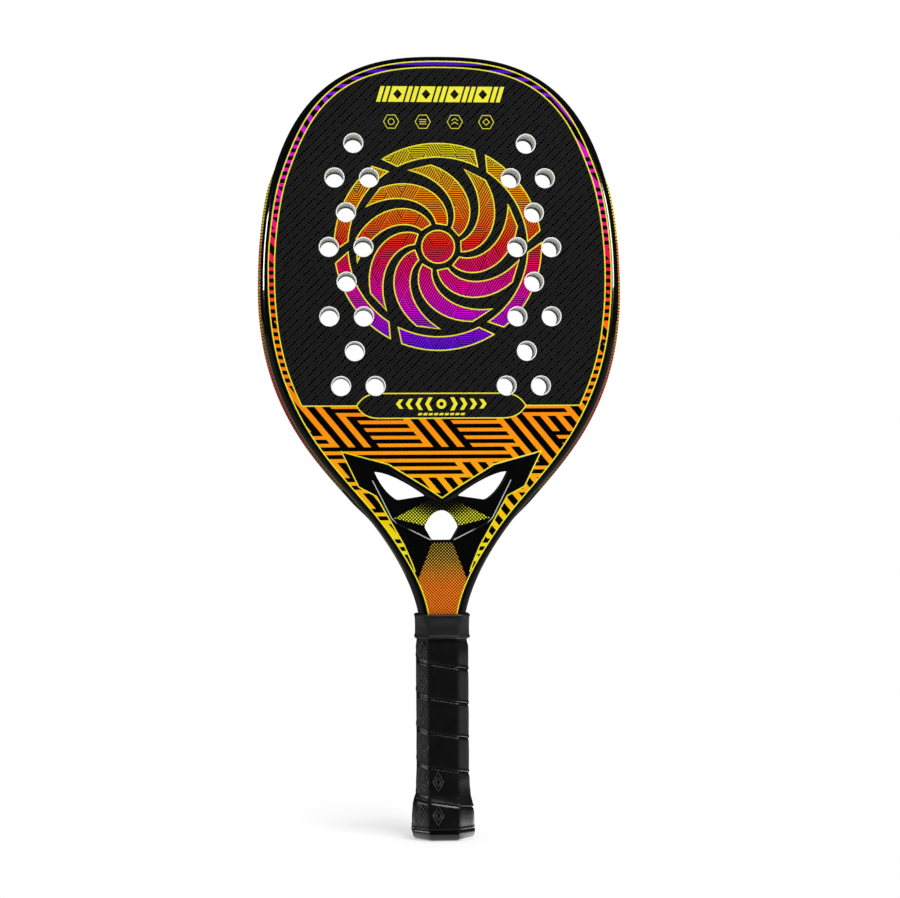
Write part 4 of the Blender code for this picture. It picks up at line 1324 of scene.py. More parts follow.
@dataclass
class FaceArt:
    """Where the prints of a face lie: rim band, level line, plate, medallion, badges and marks."""

    outline: Outline
    yoke: Yoke
    holes: Holes
    line_width: float = 0.0008
    fine_width: float = 0.00042
    line_end: float = 0.1425
    band: float = 0.0039
    field_top: float = 0.2755
    plate_half: float = 0.0540
    plate_flat: float = 0.0400
    plate_bulge: float = 0.0095
    plate_half_height: float = 0.0079
    centre: Vector = field(default_factory=lambda: Vector((-0.0015, 0.3770)))
    ring_outer: float = 0.0662
    ring_inner: float = 0.0575
    ring_parts: int = 6
    ring_steps: int = 22
    ring_gap: float = 0.06
    ring_lean: float = 0.10
    blades: int = 9
    blade_root: float = 0.0150
    blade_tip: float = 0.0525
    blade_twist: float = math.radians(62)
    blade_bend: float = 1.3
    blade_sides: Pair = (-0.30, 0.36)
    blade_taper: float = 0.38
    blade_steps: int = 16
    hub: float = 0.0105
    badge_height: float = 0.4571
    badge_radius: float = 0.0049
    badge_middles: tuple[float, ...] = (-0.0310, -0.0108, 0.0097, 0.0298)
    sign_ring: float = 0.0019
    sign_half: float = 0.0021
    sign_rise: float = 0.0014
    bar_half: float = 0.0022
    pair_rise: float = 0.0010
    sign_shift: float = 0.0012
    top_start: float = -0.0391
    top_height: float = 0.4748
    top_half: float = 0.0050
    top_slant: float = 0.0030
    top_bar: float = 0.0026
    top_block: float = 0.0094
    top_gap: float = 0.0012
    top_groups: int = 9
    window: Pairs = ((0.0029, 0), (0, -0.0033), (-0.0029, 0), (0, 0.0033))
    disc_rise: float = 0.0012
    disc: float = 0.0031
    disc_hole: float = 0.0014
    chevrons: int = 4
    chevron_pitch: float = 0.0062
    chevron_half: float = 0.0046
    chevron_thick: float = 0.0025
    dash_pitch: float = 0.0034
    dash_width: float = 0.0024
    dash_drop: float = 0.0053
    dash_half: float = 0.0007
    dash_slant: float = 0.0008

    def border(self, more: float) -> Line:
        """The right half of the outer line's path, moved in by some more."""
        return self.outline.inset_line(GAP + self.line_width / 2 + more)

    def ground(self) -> Line:
        """The bare carbon area inside the band, down to the level line."""
        return both_halves(parted(self.border(self.band), self.field_top)[0])

    def plate_edge(self) -> Line:
        """The lozenge with curved ends on the level line.

        Returns:
            Its edge, closed.
        """
        loop = []
        for sign in (1, -1):
            flat, bulge = sign * self.plate_flat, sign * (self.plate_flat + self.plate_bulge)
            low, top = (self.field_top + rise * self.plate_half_height for rise in (-sign, sign))
            tip = Vector((sign * self.plate_half, self.field_top))
            loop += curved(Vector((flat, low)), Vector((bulge, low)), tip, 8)
            loop += curved(tip, Vector((bulge, top)), Vector((flat, top)), 8) + [Vector((flat, top))]
        return loop

    def _polar(self, radius: float, turn: float) -> Vector:
        """A point round the medallion's centre."""
        return self.centre + Vector((math.cos(turn), math.sin(turn))) * radius

    def _arc(self, radius: float, start: float, end: float) -> Line:
        """Points from one turn to another round the medallion's centre."""
        steps = range(self.ring_steps + 1)
        return [self._polar(radius, blend(start, end, step / self.ring_steps)) for step in steps]

    def _blade_side(self, start: float, width: float) -> Line:
        """One long side of a blade.

        Args:
            start: The turn at which the blade's middle starts.
            width: The side's distance from the middle at the root, as a turn.

        Returns:
            The side from the root to the tip.
        """
        side = []
        for row in range(self.blade_steps + 1):
            share = row / self.blade_steps
            turn = start + width * (1.0 - self.blade_taper * share**3)
            turn += self.blade_twist * share**self.blade_bend
            side.append(self._polar(blend(self.blade_root, self.blade_tip, share), turn))
        return side

    def medallion(self) -> list[Line]:
        """The shapes of the ornament: a parted ring, curved blades and a hub.

        Returns:
            The shapes' edges, closed.
        """
        shapes = []
        part, step = math.tau / self.ring_parts, math.tau / self.blades
        for index in range(self.ring_parts):
            start, end = index * part + self.ring_gap, (index + 1) * part - self.ring_gap
            outer = self._arc(self.ring_outer, start + self.ring_lean, end + self.ring_lean)
            shapes.append(outer + self._arc(self.ring_inner, end, start))
        for index in range(self.blades):
            right, left = (self._blade_side(index * step, step * share) for share in self.blade_sides)
            shapes.append(right + left[::-1])
        return shapes + [circle(self.centre, self.hub, 40)]

    def badges(self) -> list[Line]:
        """Four small hexagons in a row under the top marks, closed."""
        return [circle(Vector((x, self.badge_height)), self.badge_radius, 6) for x in self.badge_middles]

    def badge_marks(self) -> list[tuple[Line, bool]]:
        """A plain sign in each badge: a ring, bars, a chevron pair and a diamond.

        Returns:
            Each sign's lines, with whether they are closed.
        """
        ring, bars, pair, diamond = (Vector((x, self.badge_height)) for x in self.badge_middles)
        half, rise = self.sign_half, self.sign_rise
        marks = [(circle(ring, self.sign_ring, 20), True)]
        for level in (-rise, 0.0, rise):
            marks.append(([bars + Vector((side, level)) for side in (-self.bar_half, self.bar_half)], False))
        for shift in (-self.sign_shift, self.sign_shift):
            corner = pair + Vector((0, self.pair_rise + shift))
            marks.append(([corner + Vector(arm) for arm in ((-half, -rise), (0, 0), (half, -rise))], False))
        marks.append((circle(diamond, half, 4), True))
        return marks

    @staticmethod
    def _slanted(start: float, width: float, height: float, half: float, slant: float) -> Line:
        """A parallelogram that leans right by a slant, from its left side's middle, closed."""
        corners = ((0, -half), (width, -half), (width, half), (0, half))
        return [Vector((start + more + slant * rise / half / 2, height + rise)) for more, rise in corners]

    def top_band(self) -> list[tuple[Line, Print]]:
        """The bright band at the top of the head: leaning bars and blocks, each with a window.

        Returns:
            Each shape's edge, with its finish.
        """
        shapes, x = [], self.top_start
        form = self.top_height, self.top_half, self.top_slant
        for index in range(self.top_groups):
            for width in (self.top_block,) if index % 2 else (self.top_bar, self.top_bar):
                shapes.append((self._slanted(x, width, *form), Print.INK))
                x += width + self.top_gap
            if index % 2:
                middle = Vector((x - self.top_gap - self.top_block / 2, self.top_height))
                shapes.append(([middle + Vector(corner) for corner in self.window], Print.CARBON))
        return shapes

    def plate_marks(self) -> list[tuple[Line, Print]]:
        """Chevrons that point away from a disc on the plate, over a row of short dashes.

        Returns:
            Each shape's edge, with its finish.
        """
        middle = Vector((0.0, self.field_top + self.disc_rise))
        disc, hole = circle(middle, self.disc, 28), circle(middle, self.disc_hole, 20)
        marks, thick = [(disc, Print.INK), (hole, Print.CARBON)], self.chevron_thick
        for step in range(1, self.chevrons + 1):
            high = self.chevron_half - step * 0.0004
            shape = ((0, high), (thick, high), (thick * 1.9, 0), (thick, -high), (0, -high), (thick * 0.9, 0))
            start = step * self.chevron_pitch - 0.0006
            for sign in (-1, 1):
                marks.append(([middle + Vector((sign * (start + x), z)) for x, z in shape], Print.INK))
        form = self.dash_width, self.field_top - self.dash_drop, self.dash_half, self.dash_slant
        for step in range(-4, 5):
            marks.append((self._slanted(step * self.dash_pitch - self.dash_width / 2, *form), Print.INK))
        return marks

    def paths(self) -> list[tuple[Line, bool]]:
        """Every bold line's path, cut clear of the holes.

        Returns:
            Each path, with whether it is closed.
        """
        outer, _ = parted(self.border(0.0), self.line_end)
        band, _ = parted(self.border(self.band), self.field_top)
        throat = offset_line(self.yoke.beside(), GAP + self.line_width / 2)
        throat[0].x = 0.0
        found = [(mirrored(right)[:-1] + right, False) for right in (outer, band, throat)]
        for sign in (-1, 1):
            found.append(([Vector((sign * x, self.field_top)) for x in (band[-1].x, self.plate_half)], False))
        for shape in (self.plate_edge(), *self.medallion()):
            found += self.holes.spare(shape)
        return found


@dataclass
class Head(Part):
    """The two printed faces, the foam core between them, and the drilled holes."""

    outline: Outline
    yoke: Yoke
    holes: Holes
    art: FaceArt
    hole_steps: int = 56
    core_hole: float = 0.0058

    def skin_edge(self) -> Line:
        """Edge of one face: the border, then up the prong beside the bridge and along its V.

        Returns:
            The edge, closed.
        """
        beside = self.yoke.beside()
        end = beside[-1].y + GAP
        outer, _ = parted(self.outline.inset_line(GAP), end)
        inner, _ = parted(offset_line(beside, GAP), end)
        inner[0].x = 0.0
        right = outer + inner[::-1]
        return both_halves(right)

    def core_edge(self) -> Line:
        """Edge of the core: inside the tube, and above the bridge's V carried out to it.

        Returns:
            The edge, closed.
        """
        edge = offset_line(self.yoke.edge(), GAP)
        edge[0].x = 0.0
        slope = (edge[-1].y - edge[-2].y) / (edge[-1].x - edge[-2].x)
        outer = []
        wall = self.outline.wall_line()
        for a, b in zip(wall, wall[1:]):
            outer.append(a)
            above = [p.y - edge[-1].y - slope * (p.x - edge[-1].x) for p in (a, b)]
            if above[1] < 0 < above[0]:
                outer.append(a.lerp(b, above[0] / (above[0] - above[1])))
                break
        right = outer + edge[::-1]
        return both_halves(right)

    def build(self) -> list[Object]:
        """Makes and dresses the faces, their lines and the core."""
        made = []
        art = self.art
        rings = self.holes.rings(self.hole_steps)
        pale = SoftFinish("hole_rim_pale", Ink(246, 248, 244), Ink(255, 255, 255), 0.5, 0.4, 0.6, 0.01).make()
        areas = [(art.ground(), Print.CARBON), (art.plate_edge(), Print.CARBON)]
        areas += [(shape, Print.MEDALLION) for shape in art.medallion()] + art.top_band() + art.plate_marks()
        badges = [(badge, True) for badge in art.badges()] + art.badge_marks()
        for side in Side:
            label = side.name.lower()
            slot = label + "_skin"
            low, high = sorted((side.value * HALF, side.value * (HALF - SKIN)))
            plate = Plate(self.skin_edge(), rings, low, high, areas, Print.CARBON)
            ink = LineFinish(label + "_line_ink").make()
            finishes = [
                StripeFinish(label + "_stripe_print").make(),
                CarbonFinish(label + "_carbon").make(),
                MedallionFinish(label + "_medallion_print").make(),
                ink,
            ]
            face = Solid(label + "_face", slot).finish(plate.mesh(label + "_face", side), finishes)
            bold = PrintedLines(label + "_lines", side, slot, art.line_width)
            fine = PrintedLines(label + "_fine_lines", side, slot, art.fine_width)
            rims = HoleRims(label + "_hole_rims", side, slot, self.holes.radius)
            rims = rims.build(self.holes.centres, pale)
            made += [face, bold.build(art.paths(), ink), fine.build(badges, ink), rims]
        narrow = [circle(centre, self.core_hole, self.hole_steps) for centre in self.holes.centres]
        depth = HALF - SKIN - GAP
        core = Plate(self.core_edge(), narrow, -depth, depth).mesh("core", Side.FRONT)
        foam = FoamFinish("core_foam_cells").make()
        return made + [Solid("core", "core_foam").finish(core, [foam])]


@dataclass
class FrameMoulding(Part):
    """The moulding round the head: a rounded border, a side rib and the seats of the faces."""

    outline: Outline
    seat: float = 0.1415
    legs: tuple[float, ...] = (0.139, 0.136)
    side_flat: float = 0.0050
    rib_half: float = 0.0035
    rounding_steps: int = 9
    corner: float = 0.0010
    chart: str = "rim_chart"

    def section(self, point: Vector, normal: Vector) -> Line:
        """One closed section across the moulding, as 3-D points.

        Args:
            point: Where the outline is cut.
            normal: The outward normal there.

        Returns:
            The section's points.
        """
        height = point.y
        border, width, rib = self.outline.border(height), self.outline.tube(height), self.outline.rib(height)
        rebate = HALF - SKIN - GAP
        half = [(-rib, 0.0), (-rib, self.rib_half * 0.6), (-rib * 0.93, self.rib_half * 0.9)]
        half.append((-rib * 0.5, blend(self.rib_half, self.side_flat, 0.5)))
        half.append((-rib * 0.08, self.side_flat * 0.98))
        for step in range(self.rounding_steps + 1):
            turn = math.pi / 2 * step / self.rounding_steps
            half.append((border * (1 - math.cos(turn)), blend(self.side_flat, HALF, math.sin(turn))))
        half += [(border, rebate), (width - self.corner, rebate), (width, rebate - self.corner)]
        loop = half + [(inset, -y) for inset, y in reversed(half[1:])]
        spots = [(point - normal * inset, y) for inset, y in loop]
        return [Vector((spot.x, y, spot.y)) for spot, y in spots]

    def build(self) -> list[Object]:
        """Makes and dresses the moulding."""
        stations = [(p, n) for p, n in self.outline.stations if p.y > self.seat - GAP]
        stations += [(Vector((self.outline.flank(z), z)), Vector((1, 0))) for z in self.legs]
        run = [0.0]
        for (a, _), (b, _) in zip(stations, stations[1:]):
            run.append(run[-1] + (b - a).length)
        right = [self.section(*station) for station in stations]
        left = [[Vector((-p.x, p.y, p.z)) for p in ring] for ring in right[:0:-1]]
        lengths = [-length for length in run[:0:-1]] + run
        mesh = loft("frame_shell", left + right)
        lift = mesh.uv_layers.new(name=self.chart).data
        nearest = self._runs(mesh, left + right, lengths)
        for loop in mesh.loops:
            spot = mesh.vertices[loop.vertex_index].co
            lift[loop.index].uv = (nearest[loop.vertex_index], spot.y)
        piece = Solid("frame_shell", "frame_tube")
        return [piece.finish(mesh, [FrameFinish("frame_lacquer_print", self.chart).make()])]

    @staticmethod
    def _runs(mesh: Mesh, rings: Sequence[Line], lengths: Sequence[float]) -> list[float]:
        """How far along the frame each vertex of the mesh lies."""
        known = {tuple(round(c, 6) for c in p): run for ring, run in zip(rings, lengths) for p in ring}
        return [known.get(tuple(round(c, 6) for c in v.co), 0.0) for v in mesh.vertices]


@dataclass
class Throat(Part):
    """The sculpted yoke between the legs, with its three openings and cut facets."""

    outline: Outline
    yoke: Yoke
    bevel: float = 0.00035
    bevel_angle: float = math.radians(12)
    sharp_angle: float = math.radians(32)
    far: float = 0.230
    stand_out: float = 0.14
    room_drop: float = 0.034
    cut_half: float = 0.022
    ridge_width: float = 0.0006
    ridge_lift: float = 0.00015
    eye_top: Pairs = ((0.0294, 0.0176), (0.0410, 0.0173))
    eye_inner: Pairs = ((0.0100, 0.0021),)
    eye_side: Pairs = ((0.0280, -0.0007), (0.0238, 0.0048))
    eye_reaches: Pair = (0.0012, 0.0022)
    port_points: Pairs = (
        (0.0, -0.0072), (0.0070, -0.0072), (0.01125, -0.0179), (0.0064, -0.0264), (0.0, -0.0264)
    )
    port_reach: float = 0.0011
    ridge: Pairs = ((0.0234, 0.0119), (0.0147, -0.0120), (0.0152, -0.0152))
    socket_depth: float = 0.0026
    socket_rim: Pairs = (
        (0.0074, -0.0260), (0.0009, -0.0070), (0.0009, -0.0028), (0.0120, 0.0050), (0.0340, 0.0185),
        (0.0455, 0.0215),
    )
    socket_floor: Pairs = ((0.0360, 0.0125), (0.0150, 0.0035), (0.0265, -0.0030), (0.0100, -0.0120))
    flank_depth: float = 0.0014
    flank_rim: Pairs = (
        (0.0278, -0.0178), (0.0092, -0.0274), (0.0148, -0.0480), (0.0165, -0.0430), (0.0224, -0.0305),
    )
    flank_floor: Pairs = ((0.0200, -0.0262), (0.0155, -0.0375))

    def eye(self) -> Line:
        """The slanted opening on the right.

        Returns:
            Its edge, closed.
        """
        (inner,) = self.yoke.from_apex(self.eye_inner)
        outer, upper, lower, cheek = (self.yoke.at(*point) for point in self.eye_top + self.eye_side)
        top, side = curved(outer, upper, inner, 16), curved(lower, cheek, outer, 12)
        end = rounded(top[-1], inner, lower, self.eye_reaches[0], 5)
        return top[1:] + end + rounded(inner, lower, side[1], self.eye_reaches[1], 5) + side[3:] + [outer]

    def port(self) -> Line:
        """The five-sided opening in the middle, its top rounded.

        Returns:
            Its edge, closed.
        """
        top, shoulder, side, base, end = self.yoke.from_apex(self.port_points)
        right = curved(top, shoulder, side, 14)
        right += rounded(right[-1], side, base, self.port_reach, 4)
        return both_halves(right + rounded(side, base, end, self.port_reach, 4))

    def _block(self, name: str, loop: Line, low: float, high: float) -> Object:
        """A straight block with a given edge, from one depth to another."""
        return self._object(name, Plate(loop, [], low, high).mesh(name, Side.FRONT))

    @staticmethod
    def _object(name: str, mesh: Mesh) -> Object:
        """A helper object for a cut.

        Args:
            name: Its name.
            mesh: Its mesh.

        Returns:
            The object.
        """
        made = bpy.data.objects.new(name, mesh)
        bpy.context.scene.collection.objects.link(made)
        return made

    def _gem(self, name: str, rim: Line, floor: Line, depth: float) -> list[Object]:
        """Four cutters with flat facets, one for each quarter of the yoke.

        Args:
            name: Their name.
            rim: The corners of the facets' outer edge, on the face.
            floor: The corners at their deepest.
            depth: How deep that is.

        Returns:
            The cutters, which stand out of the face a little.
        """
        middle = sum(floor, Vector((0, 0))) / len(floor)
        found = []
        for sign_x in (1, -1):
            for sign_y in (1, -1):
                shape = bmesh.new()
                for point in rim:
                    raised = point + (point - middle) * self.stand_out
                    shape.verts.new((sign_x * raised.x, sign_y * (-HALF - depth * self.stand_out), raised.y))
                for point in floor:
                    shape.verts.new((sign_x * point.x, sign_y * (-HALF + depth), point.y))
                hull = bmesh.ops.convex_hull(shape, input=shape.verts)
                inner = [item for item in hull["geom_interior"] if isinstance(item, bmesh.types.BMVert)]
                bmesh.ops.delete(shape, geom=inner, context="VERTS")
                found.append(self._object(name, mesh_from(name, shape)))
        return found

    def build(self) -> list[Object]:
        """Makes and dresses the yoke."""
        yoke = self.yoke
        body = self._block("yoke_body", yoke.face(), -HALF, HALF)
        _, wall = parted(self.outline.wall_line(), yoke.apex + yoke.tip[1] * 2)
        low = wall[-1].y - self.room_drop
        beside = wall + [Vector((wall[-1].x, low)), Vector((self.far, low)), Vector((self.far, wall[0].y))]
        cutters = []
        for mirror in (False, True):
            room, eye = (mirrored(loop) if mirror else loop for loop in (beside, self.eye()))
            cutters.append(self._block("tube_room", room, -HALF + SKIN, HALF - SKIN))
            cutters.append(self._block("eye_room", eye, -self.cut_half, self.cut_half))
        cutters.append(self._block("port_room", self.port(), -self.cut_half, self.cut_half))
        ridge, rim = [yoke.at(*point) for point in self.ridge], yoke.from_apex(self.socket_rim)
        cutters += self._gem("socket", ridge + rim, yoke.from_apex(self.socket_floor), self.socket_depth)
        flank_rim, flank_floor = yoke.from_apex(self.flank_rim), yoke.from_apex(self.flank_floor)
        cutters += self._gem("flank", flank_rim, flank_floor, self.flank_depth)
        for cutter in cutters:
            cut = body.modifiers.new("cut", "BOOLEAN")
            cut.operation, cut.solver, cut.object = "DIFFERENCE", "EXACT", cutter
        soften = body.modifiers.new("soften", "BEVEL")
        soften.width, soften.segments, soften.limit_method = self.bevel, 2, "ANGLE"
        soften.angle_limit, soften.miter_outer = self.bevel_angle, "MITER_ARC"
        mesh = evaluated(body, "yoke")
        for cutter in cutters:
            bpy.data.objects.remove(cutter, do_unlink=True)
        mesh.set_sharp_from_angle(angle=self.sharp_angle)
        for polygon in mesh.polygons:
            polygon.use_smooth = True
        piece = Solid("yoke", "throat_bridge")
        made = [piece.finish(mesh, [YokeFinish("yoke_lacquer_print").make()])]
        line = ridge + rim[:1]
        # The raised folds carry a painted highlight, not a lacquer of their own.
        ridge_highlight = RidgeHighlightFinish("yoke_ridge_painted_highlight").make()
        for side in Side:
            name = "yoke_ridges_" + side.name.lower()
            lines = PrintedLines(name, side, "throat_bridge", self.ridge_width, self.ridge_lift)
            made.append(lines.build([(line, False), (mirrored(line), False)], ridge_highlight))
        return made


@dataclass(frozen=True)
class Octagon:
    """A ring round the handle: an octagon whose corners are rounded."""

    half_width: float
    half_depth: float
    flat_x: float
    flat_y: float
    soft: float = 0.0030
    arc_steps: int = 4
    flat_steps: int = 4

    @property
    def count(self) -> int:
        """How many points the ring has."""
        return 8 * (self.arc_steps + self.flat_steps)

    def grown(self, more: float) -> "Octagon":
        """The ring moved out by some more, with its corners rounder for it."""
        spread = more * math.tan(math.radians(22.5))
        return Octagon(self.half_width + more, self.half_depth + more, self.flat_x + spread,
                       self.flat_y + spread, self.soft + more)

    def towards(self, other: "Octagon", share: float) -> "Octagon":
        """The ring a share of the way to another."""
        pairs = zip(astuple(self)[:5], astuple(other)[:5])
        return Octagon(*(blend(mine, others, share) for mine, others in pairs))

    def spots(self) -> list[tuple[Vector, Vector]]:
        """The ring's points, turning left from the left end of the back flat.

        Returns:
            Each point with its outward normal.
        """
        w, d, fx, fy = self.half_width, self.half_depth, self.flat_x, self.flat_y
        left, right = ((-fx, d), (-w, fy), (-w, -fy), (-fx, -d)), ((fx, -d), (w, -fy), (w, fy), (fx, d))
        corners = [Vector(corner) for corner in left + right]
        arcs = []
        for index, corner in enumerate(corners):
            into = (corner - corners[index - 1]).normalized()
            out = (corners[(index + 1) % 8] - corner).normalized()
            turn = into.angle(out)
            reach = self.soft * math.tan(turn / 2)
            start = corner - into * reach
            side = Vector((into.y, -into.x))
            centre = start - side * self.soft
            arc = []
            for step in range(self.arc_steps + 1):
                angle = turn * step / self.arc_steps
                cosine, sine = math.cos(angle), math.sin(angle)
                way = Vector((side.x * cosine - side.y * sine, side.x * sine + side.y * cosine))
                arc.append((centre + way * self.soft, way))
            arcs.append(arc)
        found = []
        for index, arc in enumerate(arcs):
            found += arc
            (a, way), (b, _) = arc[-1], arcs[(index + 1) % 8][0]
            found += [(a.lerp(b, step / self.flat_steps), way) for step in range(1, self.flat_steps)]
        return found

    def ring(self, height: float) -> Line:
        """The ring as 3-D points at a height."""
        return [Vector((spot.x, spot.y, height)) for spot, _ in self.spots()]


@dataclass(frozen=True)
class Handle:
    """What the tape is wound on: the flare of the cap, its skirt, then the handle itself."""

    half_width: float = 0.0142
    half_depth: float = 0.0110
    flat_x: float = 0.0086
    flat_y: float = 0.0058
    flare_low: float = 0.0070
    flare_top: float = 0.0285
    flare_power: float = 3.4
    flare_proud: float = 0.0027
    flare_flat_x: float = 0.0088
    flare_flat_y: float = 0.0078
    skirt_top: float = 0.0410
    skirt_run_out: float = 0.0030
    skirt_proud: float = 0.0004

    def at(self, height: float) -> Octagon:
        """Its ring at a height.

        Args:
            height: The height.

        Returns:
            The ring.
        """
        rise = min(max((height - self.flare_low) / (self.flare_top - self.flare_low), 0.0), 1.0)
        flare = 1 - rise**self.flare_power
        skirt = self.skirt_proud * ease((self.skirt_top - height) / self.skirt_run_out)
        flats = blend(self.flat_x, self.flare_flat_x, flare), blend(self.flat_y, self.flare_flat_y, flare)
        proud = skirt + self.flare_proud * flare
        return Octagon(self.half_width + proud, self.half_depth + proud, *flats)


@dataclass
class Grip(Part):
    """The wound grip tape with its pressed marks, and the rubber collar at its top."""

    handle: Handle
    thickness: float = 0.0018
    top_thickness: float = 0.0009
    thin_from: float = 0.1222
    thin_over: float = 0.0035
    seat: float = 0.0005
    pitch: float = 0.0218
    scarf: float = 1.6
    seam: float = 0.0006
    base: float = 0.0073
    top: float = 0.1354
    first_width: float = 0.0038
    first_rise: float = 0.0042
    rows: int = 18
    row_power: float = 1.5
    lip: Pair = (0.00045, 0.0011)
    low_round: Pair = (0.00030, 0.00022)
    high_round: Pair = (0.00055, 0.0007)
    crown: float = 0.00012
    flat_from: float = 0.120
    flat_over: float = 0.004
    least: float = 0.0004
    ripple: float = 0.00010
    ripple_depth: float = 0.0008
    front_ease: float = 0.35
    front_share: float = 0.402
    mark_height: float = 0.0124
    mark_width: float = 0.0066
    mark_cord: float = 0.00048
    mark_inner: float = 0.5
    mark_lift: float = 0.00022
    mark_rows: Pairs = (
        (0.1195, -0.0112), (0.1005, -0.0112), (0.0800, -0.0110), (0.0590, -0.0108), (0.0372, -0.0108),
        (0.0372, -0.0035), (0.0165, -0.0125), (0.0165, -0.0030),
    )
    collar_low: float = 0.1274
    collar_top: float = 0.1429
    collar_seat: float = 0.1363
    collar_rows: int = 26
    collar_room: float = 0.0020
    collar_wall: float = 0.0011
    collar_depth: float = 0.01295
    collar_lips: tuple[Pair, Pair] = ((0.07, 0.055), (0.94, 0.05))
    collar_lip: float = 0.0005
    collar_edge: Pair = (0.00035, 0.02)
    collar_waist: float = 0.00015
    collar_ripple: float = 0.00012
    mouth: Octagon = Octagon(0.01675, 0.0113, 0.0124, 0.0080, 0.0008)

    def _thick(self, height: float) -> float:
        """The tape's thickness at a height."""
        return blend(self.thickness, self.top_thickness, ease((height - self.thin_from) / self.thin_over))

    def _start(self) -> float:
        """Height of the band's lower edge at its first section."""
        return self.base + self.first_width - self.pitch + self.first_rise

    def _climb(self, share: float) -> float:
        """The share of a turn's rise at a share of its way round: less over the front."""
        bend = math.sin(math.tau * (share - self.front_share)) + math.sin(math.tau * self.front_share)
        return share - self.front_ease / math.tau * bend

    def _level(self, height: float) -> float:
        """A height kept between the cap's rim and the top end."""
        return min(max(height, self.base), self.top)

    def section(self, turn: float) -> list[tuple[float, float]]:
        """The tape's section after a number of turns.

        Args:
            turn: The number of turns.

        Returns:
            A closed loop of points, each as height and offset from the handle.
        """
        low = self._start() + turn * self.pitch
        edges = []
        for nominal in (low, low + self.pitch - self.seam):
            foot = nominal + self.scarf * self.thickness
            edges.append((self._level(foot - self.scarf * self._thick(nominal)), self._level(foot)))
        (low_edge, low_foot), (high_edge, high_foot) = edges
        outer, inner = [], []
        fade = 1 - ease((low_edge - self.flat_from) / self.flat_over)
        for row in range(self.rows + 1):
            share = row / self.rows
            along = share**self.row_power if share < 0.5 else 1 - (1 - share) ** self.row_power
            height = blend(low_edge, high_edge, along)
            roll = bell(height - low_edge, *self.lip) * fade
            round_low = bell(height - low_edge, *self.low_round)
            round_high = bell(high_edge - height, *self.high_round)
            crown = self.crown * math.sin(math.pi * along)
            offset = self.seat + self._thick(height) + roll - round_low - round_high * fade + crown * fade
            outer.append((height, max(offset, self.seat + self.least)))
            inner.append((blend(low_foot, high_foot, along), self.seat))
        return outer + inner[::-1]

    def rings(self) -> list[Line]:
        """The tape's section at every spoke of its winding, towards -X on the front.

        Returns:
            The sections, from the lower end of the tape to the upper.
        """
        around = [spot for spot, _ in self.handle.at(self.top).spots()]
        count = len(around)
        run = [0.0]
        for here, after in zip(around, around[1:] + around[:1]):
            run.append(run[-1] + (after - here).length)
        last = (self.top - self.first_width - self.top_thickness * self.scarf - self._start()) / self.pitch
        found = []
        for step in range(count * math.ceil(last)):
            spoke = step % count
            turn = step // count + self._climb(run[spoke] / run[-1])
            if turn > last:
                break
            ring = []
            for height, offset in self.section(turn):
                spot, way = self.handle.at(height).spots()[spoke]
                wave = self.ripple * ripple(spot, height, 160, 190)
                spot = spot + way * (offset + wave * ease((offset - self.seat) / self.ripple_depth))
                ring.append(Vector((-spot.x, spot.y, height)))
            found.append(ring)
        return found

    def marks(self, finish: Material) -> Object:
        """Raised diamonds down the chamfers of the grip, set out by Geometry Nodes.

        Args:
            finish: The marks' finish, lighter than the tape as a painted glint.

        Returns:
            The piece.
        """
        weave = Weave("grip_marks_set", ("Width", "Height", "Cord"))
        given = weave.given
        heights = {"Bottom_Height": given["Height"], "Top_Height": given["Height"]}
        kite = {"mode": "KITE"}
        diamond = weave.node("GeometryNodeCurvePrimitiveQuadrilateral", kite, Width=given["Width"], **heights)
        cord = weave.node("GeometryNodeCurvePrimitiveCircle", {}, Resolution=8, Radius=given["Cord"])
        large = weave.node("GeometryNodeCurveToMesh", {}, Curve=diamond, Profile_Curve=cord)
        shrink = (self.mark_inner, self.mark_inner, 1.0)
        inner = weave.node("GeometryNodeTransform", {}, Geometry=diamond, Scale=shrink)
        small = weave.node("GeometryNodeCurveToMesh", {}, Curve=inner, Profile_Curve=cord)
        pair = weave.tree.nodes.new("GeometryNodeJoinGeometry")
        for shape in (large, small):
            weave.tree.links.new(shape, pair.inputs[0])
        turned = weave.node("GeometryNodeInputNamedAttribute", {"data_type": "FLOAT_VECTOR"}, Name="turned")
        weave.close(weave.node("GeometryNodeInstanceOnPoints", {}, Points=given["Source"],
                               Instance=pair.outputs[0], Rotation=turned))
        places, turns = self._mark_places()
        points = bpy.data.meshes.new("grip_mark_places")
        points.from_pydata(places, [], [])
        points.attributes.new("turned", "FLOAT_VECTOR", "POINT").data.foreach_set("vector", np.ravel(turns))
        values = {"Width": self.mark_width, "Height": self.mark_height / 2}
        values |= {"Cord": self.mark_cord, "Finish": finish}
        mesh = weave.run(points, "grip_marks", values)
        return Solid("grip_marks", "grip_tape", False).finish(mesh, [finish])

    def _mark_places(self) -> tuple[list[Vector], list[Vector]]:
        """Middles and turns of the marks, left of the middle on the front, and so on the back.

        Returns:
            The middles, and as many turns.
        """
        places, turns = [], []
        up = Vector((0, 0, 1))
        for height, x in self.mark_rows:
            front = [spot for spot in self.handle.at(height).spots() if spot[0].y < 0]
            spot, way = min(front, key=lambda item: abs(item[0].x - x))
            spot = spot + way * (self.seat + self._thick(height) + self.mark_lift)
            for sign in (1, -1):
                out = Vector((way.x, way.y, 0)) * sign
                places.append(Vector((spot.x * sign, spot.y * sign, height)))
                turns.append(Matrix((up.cross(out), up, out)).transposed().to_euler())
        return places, [tuple(turn) for turn in turns]

